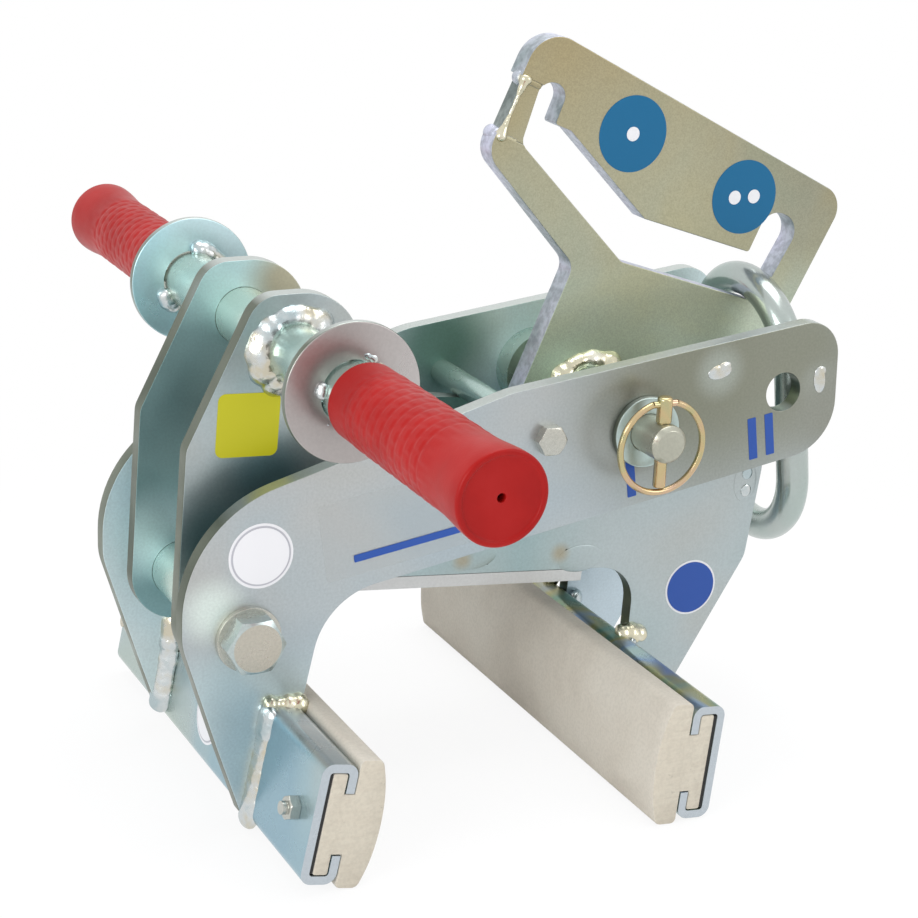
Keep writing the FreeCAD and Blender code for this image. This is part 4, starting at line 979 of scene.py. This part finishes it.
outline += [(bolt_radius - thread_depth, bolt_high.y, 0.0), (0.0, bolt_high.y, 0.0)]
bm = turned(outline, guard_sides)
bmesh.ops.translate(bm, verts=bm.verts, vec=bolt_axis)
corner_turn = 0.0 if bolt_high.x - bolt_low.x > bolt_high.z - bolt_low.z else math.radians(30.0)
hexagon(bm, bolt_axis, bolt_seat, bolt_low.y, bolt_flats, corner_turn)
bmesh.ops.recalc_face_normals(bm, faces=bm.faces)
to_piece(bm, "pivot_bolt_turned", bolt_zinc, "lifting_arm", ("pivot_bolt",), bolt_crease)
for node in ("stop_rod", "pin_bosses"):
    eased(node, 0.0, zinc_tube)

# Side plate lumps: two plug welds beside the second pin hole on each outer face, each a bright
# lump of two mounds that stands in a pale patch.
arm_tilt = math.radians(8.6)
plug_lumps = (
    (wide_plug, (0.0, 0.0), (0.0066, lump_rise, 0.0036), arm_tilt),
    (wide_plug, (0.002, 0.0022), (0.0042, lump_rise, 0.0024), arm_tilt * 2.0),
    (tall_plug, (0.0, 0.002), (0.0034, lump_rise, 0.0066), arm_tilt),
    (tall_plug, (0.0005, 0.0065), (0.0028, lump_rise, 0.0026), arm_tilt),
)
lump_places = []
for side in (-1.0, 1.0):
    for plug, (x, z), half, tilt in plug_lumps:
        lump_places.append((plug + Vector((x, side * side_face, z)), half, tilt))
mounds("side_plug_lumps", lump_places, weld_metal, "lifting_arm")


# Suspension plate: 12 mm plate, flame cut, with a dull olive passivated face full of fine
# specks, a painted pale green reflection low down, and mottled lavender cut edges. The bridge
# block is the same with darker cut edges, and it is welded in beside the left hook recess.
def olive_finish(name, cut_tints):
    """Olive faces, browner higher up with a painted pale green reflection low down and darker towards the
    right end, and cut edges in tints.
    """
    material, tree, shader = new_finish(name, zinc_metal)
    spot = add_node(tree, "ShaderNodeTexCoord")
    parts = add_node(tree, "ShaderNodeSeparateXYZ", {0: spot.outputs["Object"]})
    # The faces are olive and browner higher up, with a painted pale green reflection low down.
    broad = ramp(tree, spread(tree, parts.outputs["Z"], 0.17, 0.34), [
        (0.0, (0.80, 0.94, 0.76)), (0.4, (0.435, 0.45, 0.34)), (1.0, (0.37, 0.323, 0.198)),
    ])
    right_end = ramp(tree, spread(tree, parts.outputs["X"], 0.09, 0.16), [
        (0.0, (1.0,) * 3), (1.0, (0.78, 0.77, 0.78)),
    ])
    drift = ramp(tree, clouds(tree, spot, scale=11.0, detail=3.0, distortion=0.5), [
        (0.34, (0.88, 0.96, 0.98)), (0.5, (1.0,) * 3), (0.66, (1.04, 0.98, 0.88)),
    ])
    specks = ramp(tree, clouds(tree, spot, scale=1400.0, detail=2.0), [
        (0.32, (0.88,) * 3), (0.68, (1.06,) * 3),
    ])
    for layer in (right_end, drift, specks):
        broad = mixed(tree, 1.0, broad, layer, "MULTIPLY")
    cut_drift = clouds(tree, spot, scale=24.0, detail=4.0, distortion=0.4)
    cut_colour = ramp(tree, cut_drift, even_stops(cut_tints, 0.34, 0.62))
    mottle = ramp(tree, clouds(tree, spot, scale=330.0, detail=2.0), [
        (0.38, (0.74,) * 3), (0.6, (1.0,) * 3),
    ])
    cut_colour = mixed(tree, 1.0, cut_colour, mottle, "MULTIPLY")
    face = facing(tree, spot, "Y", low=0.55, high=0.85)
    cut_bump = bumped(tree, spot, scale=150.0, detail=4.0, strength=0.25, distance=0.001)
    grain = bumped(tree, spot, scale=900.0, detail=2.0, strength=0.12, distance=0.0003)
    normal = add_node(tree, "ShaderNodeMix", {0: face, 4: cut_bump, 5: grain}, data_type="VECTOR")
    set_inputs(tree, shader, {
        "Base Color": mixed(tree, face, cut_colour, broad),
        "Roughness": 0.44,
        "Normal": normal.outputs[1],
    })
    return material


plate_cuts = ((0.32, 0.38, 0.40), (0.50, 0.54, 0.60), (0.62, 0.63, 0.76))
bridge_cuts = ((0.13, 0.16, 0.16), (0.22, 0.26, 0.25), (0.36, 0.40, 0.39))
olive_plate = olive_finish("olive_plate", plate_cuts)
bridge_olive = olive_finish("bridge_olive", bridge_cuts)
eased("suspension_plate", plate_edge, olive_plate)
eased("hook_bridge", plate_edge, bridge_olive)
eased("suspension_hub", hardware_edge, zinc_tube)

# Suspension welds: a lumpy straw coloured ring where the hub passes through the plate, on both
# faces. The bridge block has a slim bead up its front corner that swells at both ends, and plate
# coloured seams at its foot and top, across its side and on both faces.
hub_low, hub_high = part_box("suspension_hub")
hub_seat = (hub_high.x - hub_low.x) * 0.5 + 0.003
hub_base = (0.0095, 0.0034)
hub_blobs = (0.0150, 0.0046)
hub_spacing = 0.58
hub_uneven = 0.28
hub_flow = 20
plate_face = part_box("suspension_plate")[1].y
bridge_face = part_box("hook_bridge")[1].y
bridge_foot = Vector((-0.0100, 0.0, 0.2990))
bridge_top = Vector((0.0014, 0.0, 0.3246))
bridge_in = Vector((0.9135, 0.0, -0.4068))
bridge_up = (bridge_top - bridge_foot).normalized()
bridge_front = Vector((0.0, -bridge_face, 0.0))
corner_width = 0.0023
corner_rise = 0.0011
corner_uneven = 0.15
corner_swell = 1.9
corner_steps = 18
corner_flow = 6
face_seam = (0.0046, 0.0008)
face_seam_length = 0.008
side_seam = (0.0066, 0.0034)
side_seam_spacing = 0.45
side_seam_uneven = 0.35
side_seam_front = Vector((0.0, bridge_face - 0.003, 0.0))
side_seam_rear = Vector((0.0, bridge_face - 0.001, 0.0))
seam_flow = 14
draw = random.Random(41)
puddles = []
for side in (-1.0, 1.0):
    centre = pin_axis + Vector((0.0, side * plate_face, 0.0))
    puddles += lumpy_ring(centre, hub_seat, side, hub_base, hub_blobs, hub_spacing, hub_uneven, draw)
weld_bead("hub_weld_rings", puddles, "suspension", ("hub_welds",), gold_weld, hub_flow)
puddles = []
for i in range(corner_steps + 1):
    share = i / corner_steps
    swell = draw.uniform(1.0 - corner_uneven, 1.0 + corner_uneven)
    swell += corner_swell * abs(2.0 * share - 1.0) ** 3
    puddles.append((bridge_foot.lerp(bridge_top, share) + bridge_front, bridge_up,
                    bridge_front.normalized() - bridge_in, corner_width * swell, corner_rise * swell))
seams = []
for face in (bridge_front, -bridge_front):
    for seam in (bridge_foot, bridge_top):
        seam_end = seam + face + bridge_in * face_seam_length
        seams += line_puddles(seam + face, seam_end, face, *face_seam, draw)
for seam in (bridge_foot, bridge_top):
    seams += line_puddles(seam - side_seam_front, seam + side_seam_rear, -bridge_in, *side_seam, draw,
                          side_seam_spacing, side_seam_uneven)
weld_bead("bridge_corner_welds", puddles, "suspension", (), gold_weld, corner_flow)
weld_bead("bridge_seams", seams, "suspension", (), olive_plate, seam_flow)

# Lifting ring: an oval link bent from 16 mm round bar and butt welded, smoothly plated. It hangs
# loose in the suspension plate's slot.
ring_tints = ((0.40, 0.48, 0.45), (0.46, 0.51, 0.49), (0.50, 0.50, 0.45))
ring_zinc = zinc_finish("ring_zinc", ring_tints, speck=0.05, rough=0.22)
eased("lifting_ring", 0.0, ring_zinc)

# Suspension pin and its washer: turned from bar, with a chamfered end in front and a flat head
# behind. The pin end is rubbed and tan, the washer is like the plates.
pin_sides = 72
pin_low, pin_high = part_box("suspension_pin")
pin_radius = 0.009
pin_head = pin_high.y - 0.006
pin_chamfer = 0.0020
pin_end_round = 0.0003
pin_head_foot = 0.0006
pin_head_round = 0.0012
pin_head_radius = (pin_high.x - pin_low.x) * 0.5
pin_tints = ((0.42, 0.42, 0.35), (0.48, 0.48, 0.40), (0.50, 0.47, 0.37))
pin_zinc = zinc_finish("pin_zinc", pin_tints, speck=0.08, rough=0.28)
outline = [
    (0.0, pin_low.y, 0.0), (pin_radius - pin_chamfer, pin_low.y, pin_end_round),
    (pin_radius, pin_low.y + pin_chamfer, pin_end_round), (pin_radius, pin_head, 0.0),
    (pin_head_radius, pin_head, pin_head_foot), (pin_head_radius, pin_high.y, pin_head_round),
    (0.0, pin_high.y, 0.0),
]
bm = turned(outline, pin_sides)
bmesh.ops.translate(bm, verts=bm.verts, vec=pin_axis)
to_piece(bm, "suspension_pin_turned", pin_zinc, "suspension_pin_set", ("suspension_pin",))
washer_low, washer_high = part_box("pin_washer")
washer_radius = (washer_high.x - washer_low.x) * 0.5
washer_hole = pin_radius + 0.0001
washer_round = 0.0003
washer_front_round = 0.0006
washer_tints = ((0.46, 0.61, 0.60), (0.52, 0.63, 0.61), (0.58, 0.61, 0.58))
washer_zinc = zinc_finish("washer_zinc", washer_tints, speck=0.06, rough=0.30, edges=True)
outline = [
    (washer_hole, washer_low.y, washer_round), (washer_radius, washer_low.y, washer_front_round),
    (washer_radius, washer_high.y, washer_round), (washer_hole, washer_high.y, 0.0),
]
bm = turned(outline, pin_sides)
bmesh.ops.translate(bm, verts=bm.verts, vec=pin_axis)
to_piece(bm, "pin_washer_turned", washer_zinc, "suspension_pin_set", ("pin_washer",))


# Linch pin and its sprung wire ring: yellow passivated wire. The pin has a small rounded head
# and passes through the suspension pin's front end, and the ring snaps over it.
def yellow_finish():
    """Yellow passivated zinc with green and pink tints."""
    material, tree, shader = new_finish("yellow_zinc", 1.0)
    spot = add_node(tree, "ShaderNodeTexCoord")
    colour = ramp(tree, clouds(tree, spot, scale=55.0, detail=2.0, distortion=0.8), [
        (0.34, (0.46, 0.46, 0.26)), (0.5, (0.58, 0.46, 0.25)), (0.66, (0.60, 0.42, 0.30)),
    ])
    set_inputs(tree, shader, {
        "Base Color": colour,
        "Roughness": 0.26,
        "Normal": bumped(tree, spot, scale=700.0, detail=3.0, strength=0.12, distance=0.0003),
    })
    return material


yellow_zinc = yellow_finish()
linch_sides = 48
linch_low, linch_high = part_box("linch_pin")
linch_middle = (linch_low + linch_high) * 0.5
linch_leg_radius = 0.003
linch_head_radius = 0.0036
linch_top = linch_high.z - linch_middle.z
linch_head = linch_top - 0.012
linch_foot_round = 0.0009
linch_neck_round = 0.0008
linch_step_round = 0.0010
linch_top_round = 0.0016
linch_slimming = 0.00025
outline = [
    (0.0, -linch_top, 0.0), (linch_leg_radius, -linch_top, linch_foot_round),
    (linch_leg_radius, linch_head, linch_neck_round), (linch_head_radius, linch_head, linch_step_round),
    (linch_head_radius, linch_top, linch_top_round), (0.0, linch_top, 0.0),
]
upright = Matrix.Rotation(math.radians(90.0), 3, "X")
bm = turned(outline, linch_sides)
bmesh.ops.rotate(bm, verts=bm.verts, cent=(0.0, 0.0, 0.0), matrix=upright)
bmesh.ops.translate(bm, verts=bm.verts, vec=linch_middle)
to_piece(bm, "linch_pin_turned", yellow_zinc, "suspension_pin_set", ("linch_pin",))
linch_wire = eased("linch_ring", 0.0, yellow_zinc)
slim = linch_wire.modifiers.new("slim_wire", "DISPLACE")
slim.direction = "NORMAL"
slim.mid_level = 0.0
slim.strength = -linch_slimming


# Stickers: thin printed film, all plain. A yellow one and white ones on the left, one of them on
# the jaw's back, a clear strip on the side plate, blue discs, and blue bars that count the two
# pin holes.
def film(name, colour, roughness=0.38, alpha=1.0):
    """Printed film in one colour."""
    material, tree, shader = new_finish(name, 0.0)
    set_inputs(tree, shader, {
        "Base Color": colour + (1.0,), "Roughness": roughness, "Specular IOR Level": 0.3, "Alpha": alpha,
    })
    return material


film_thickness = 0.00016
film_share = 0.9


def stuck(name, outline, turn, material, body, layer=1):
    """A thin prism of an outline in X and Z, set by a matrix that takes -Y to the outward side."""
    bm = bmesh.new()
    bm.faces.new([bm.verts.new((x, -film_thickness * layer, z)) for x, z in outline])
    drawn_out(bm, film_thickness * film_share)
    bmesh.ops.transform(bm, matrix=turn, verts=bm.verts)
    return to_piece(bm, name, material, body)


def round_outline(radius, centre=(0.0, 0.0), sides=72):
    """A circle."""
    steps = [math.tau * i / sides for i in range(sides)]
    return [(centre[0] + radius * math.cos(a), centre[1] + radius * math.sin(a)) for a in steps]


def box_outline(width, height, corner, centre=(0.0, 0.0), steps=6):
    """A rectangle with rounded corners."""
    points = []
    for quarter, (sx, sz) in enumerate(((1, 1), (-1, 1), (-1, -1), (1, -1))):
        cx = centre[0] + sx * (width * 0.5 - corner)
        cz = centre[1] + sz * (height * 0.5 - corner)
        for i in range(steps + 1):
            angle = math.radians(90.0 * (quarter + i / steps))
            points.append((cx + corner * math.cos(angle), cz + corner * math.sin(angle)))
    return points


def plate_place(x, y, z, tilt=0.0):
    """A place on a plate's front face."""
    return Matrix.Translation((x, y, z)) @ Matrix.Rotation(-tilt, 4, "Y")


yellow_film = film("yellow_film", (0.49, 0.46, 0.012))
white_film = film("white_film", (0.72, 0.72, 0.74))
grey_print = film("grey_print", (0.42, 0.42, 0.46))
blue_film = film("blue_film", (0.020, 0.075, 0.33))
sea_film = film("sea_film", (0.003, 0.115, 0.25))
clear_film = film("clear_film", (0.60, 0.61, 0.60), 0.50, 0.08)
yellow_size = (0.029, 0.029, 0.0035)
white_disc_radii = (0.0150, 0.0138, 0.0130)
back_disc_radii = (0.0140, 0.0129, 0.0121)
leg_disc_radii = (0.0143, 0.0133)
strip_size = (0.098, 0.037, 0.002)
stripe_size = (0.074, 0.0035, 0.0005)
stripe_middle = (0.002, -0.0105)
lever_place = plate_place(-0.1423, -inner_face, 0.1836, math.radians(-3.0))
disc_place = plate_place(-0.1451, -side_face, 0.1321)
left_lean = jaws["left"][2]
back_turn = Matrix.Rotation(left_lean, 4, "Y") @ Matrix.Rotation(math.radians(-90.0), 4, "Z")
back_place = Matrix.Translation(jaw_point("left", 0.0, 0.0243, -0.0015)) @ back_turn
strip_place = plate_place(-0.0680, -side_face, 0.1405, arm_tilt)
leg_place = plate_place(0.0931, -inner_face, 0.0751)
for place, body, layers in (
    (lever_place, "inner_frame", (("yellow_sticker", box_outline(*yellow_size), yellow_film),)),
    (disc_place, "lifting_arm", (
        ("white_disc", round_outline(white_disc_radii[0]), white_film),
        ("white_disc_ring", round_outline(white_disc_radii[1]), grey_print),
        ("white_disc_middle", round_outline(white_disc_radii[2]), white_film),
    )),
    (back_place, "lifting_arm", (
        ("back_disc", round_outline(back_disc_radii[0]), white_film),
        ("back_disc_ring", round_outline(back_disc_radii[1]), grey_print),
        ("back_disc_middle", round_outline(back_disc_radii[2]), white_film),
    )),
    (strip_place, "lifting_arm", (
        ("clear_strip", box_outline(*strip_size), clear_film),
        ("strip_stripe", box_outline(*stripe_size, stripe_middle), blue_film),
    )),
    (leg_place, "inner_frame", (
        ("leg_disc", round_outline(leg_disc_radii[0]), white_film),
        ("leg_disc_middle", round_outline(leg_disc_radii[1]), blue_film),
    )),
):
    for layer, (name, outline, ink) in enumerate(layers, 1):
        stuck(name, outline, place, ink, body, layer)
hook_disc_radius = 0.0182
dot_radius = 0.0034
dot_pitch = 0.011
dot_sides = 40
bar_width = 0.0046
bar_height = 0.021
bar_corner = 0.0004
bar_pitch = 0.0095
for number, x, z in ((1, 0.0594, 0.2974), (2, 0.1246, 0.2639)):
    hook_place = plate_place(x, -plate_face, z)
    label = "hook_disc_%d" % number
    stuck(label, round_outline(hook_disc_radius), hook_place, sea_film, "suspension")
    for i in range(number):
        dot = round_outline(dot_radius, ((i - (number - 1) * 0.5) * dot_pitch, 0.0), dot_sides)
        stuck("%s_dot_%d" % (label, i + 1), dot, hook_place, white_film, "suspension", 2)
for number, x, z in ((1, 0.0385, 0.1480), (2, 0.1095, 0.1600)):
    bar_place = plate_place(x, -side_face, z, arm_tilt)
    for i in range(number):
        bar = box_outline(bar_width, bar_height, bar_corner, ((i - (number - 1) * 0.5) * bar_pitch, 0.0))
        stuck("hole_bar_%d_%d" % (number, i + 1), bar, bar_place, blue_film, "lifting_arm")
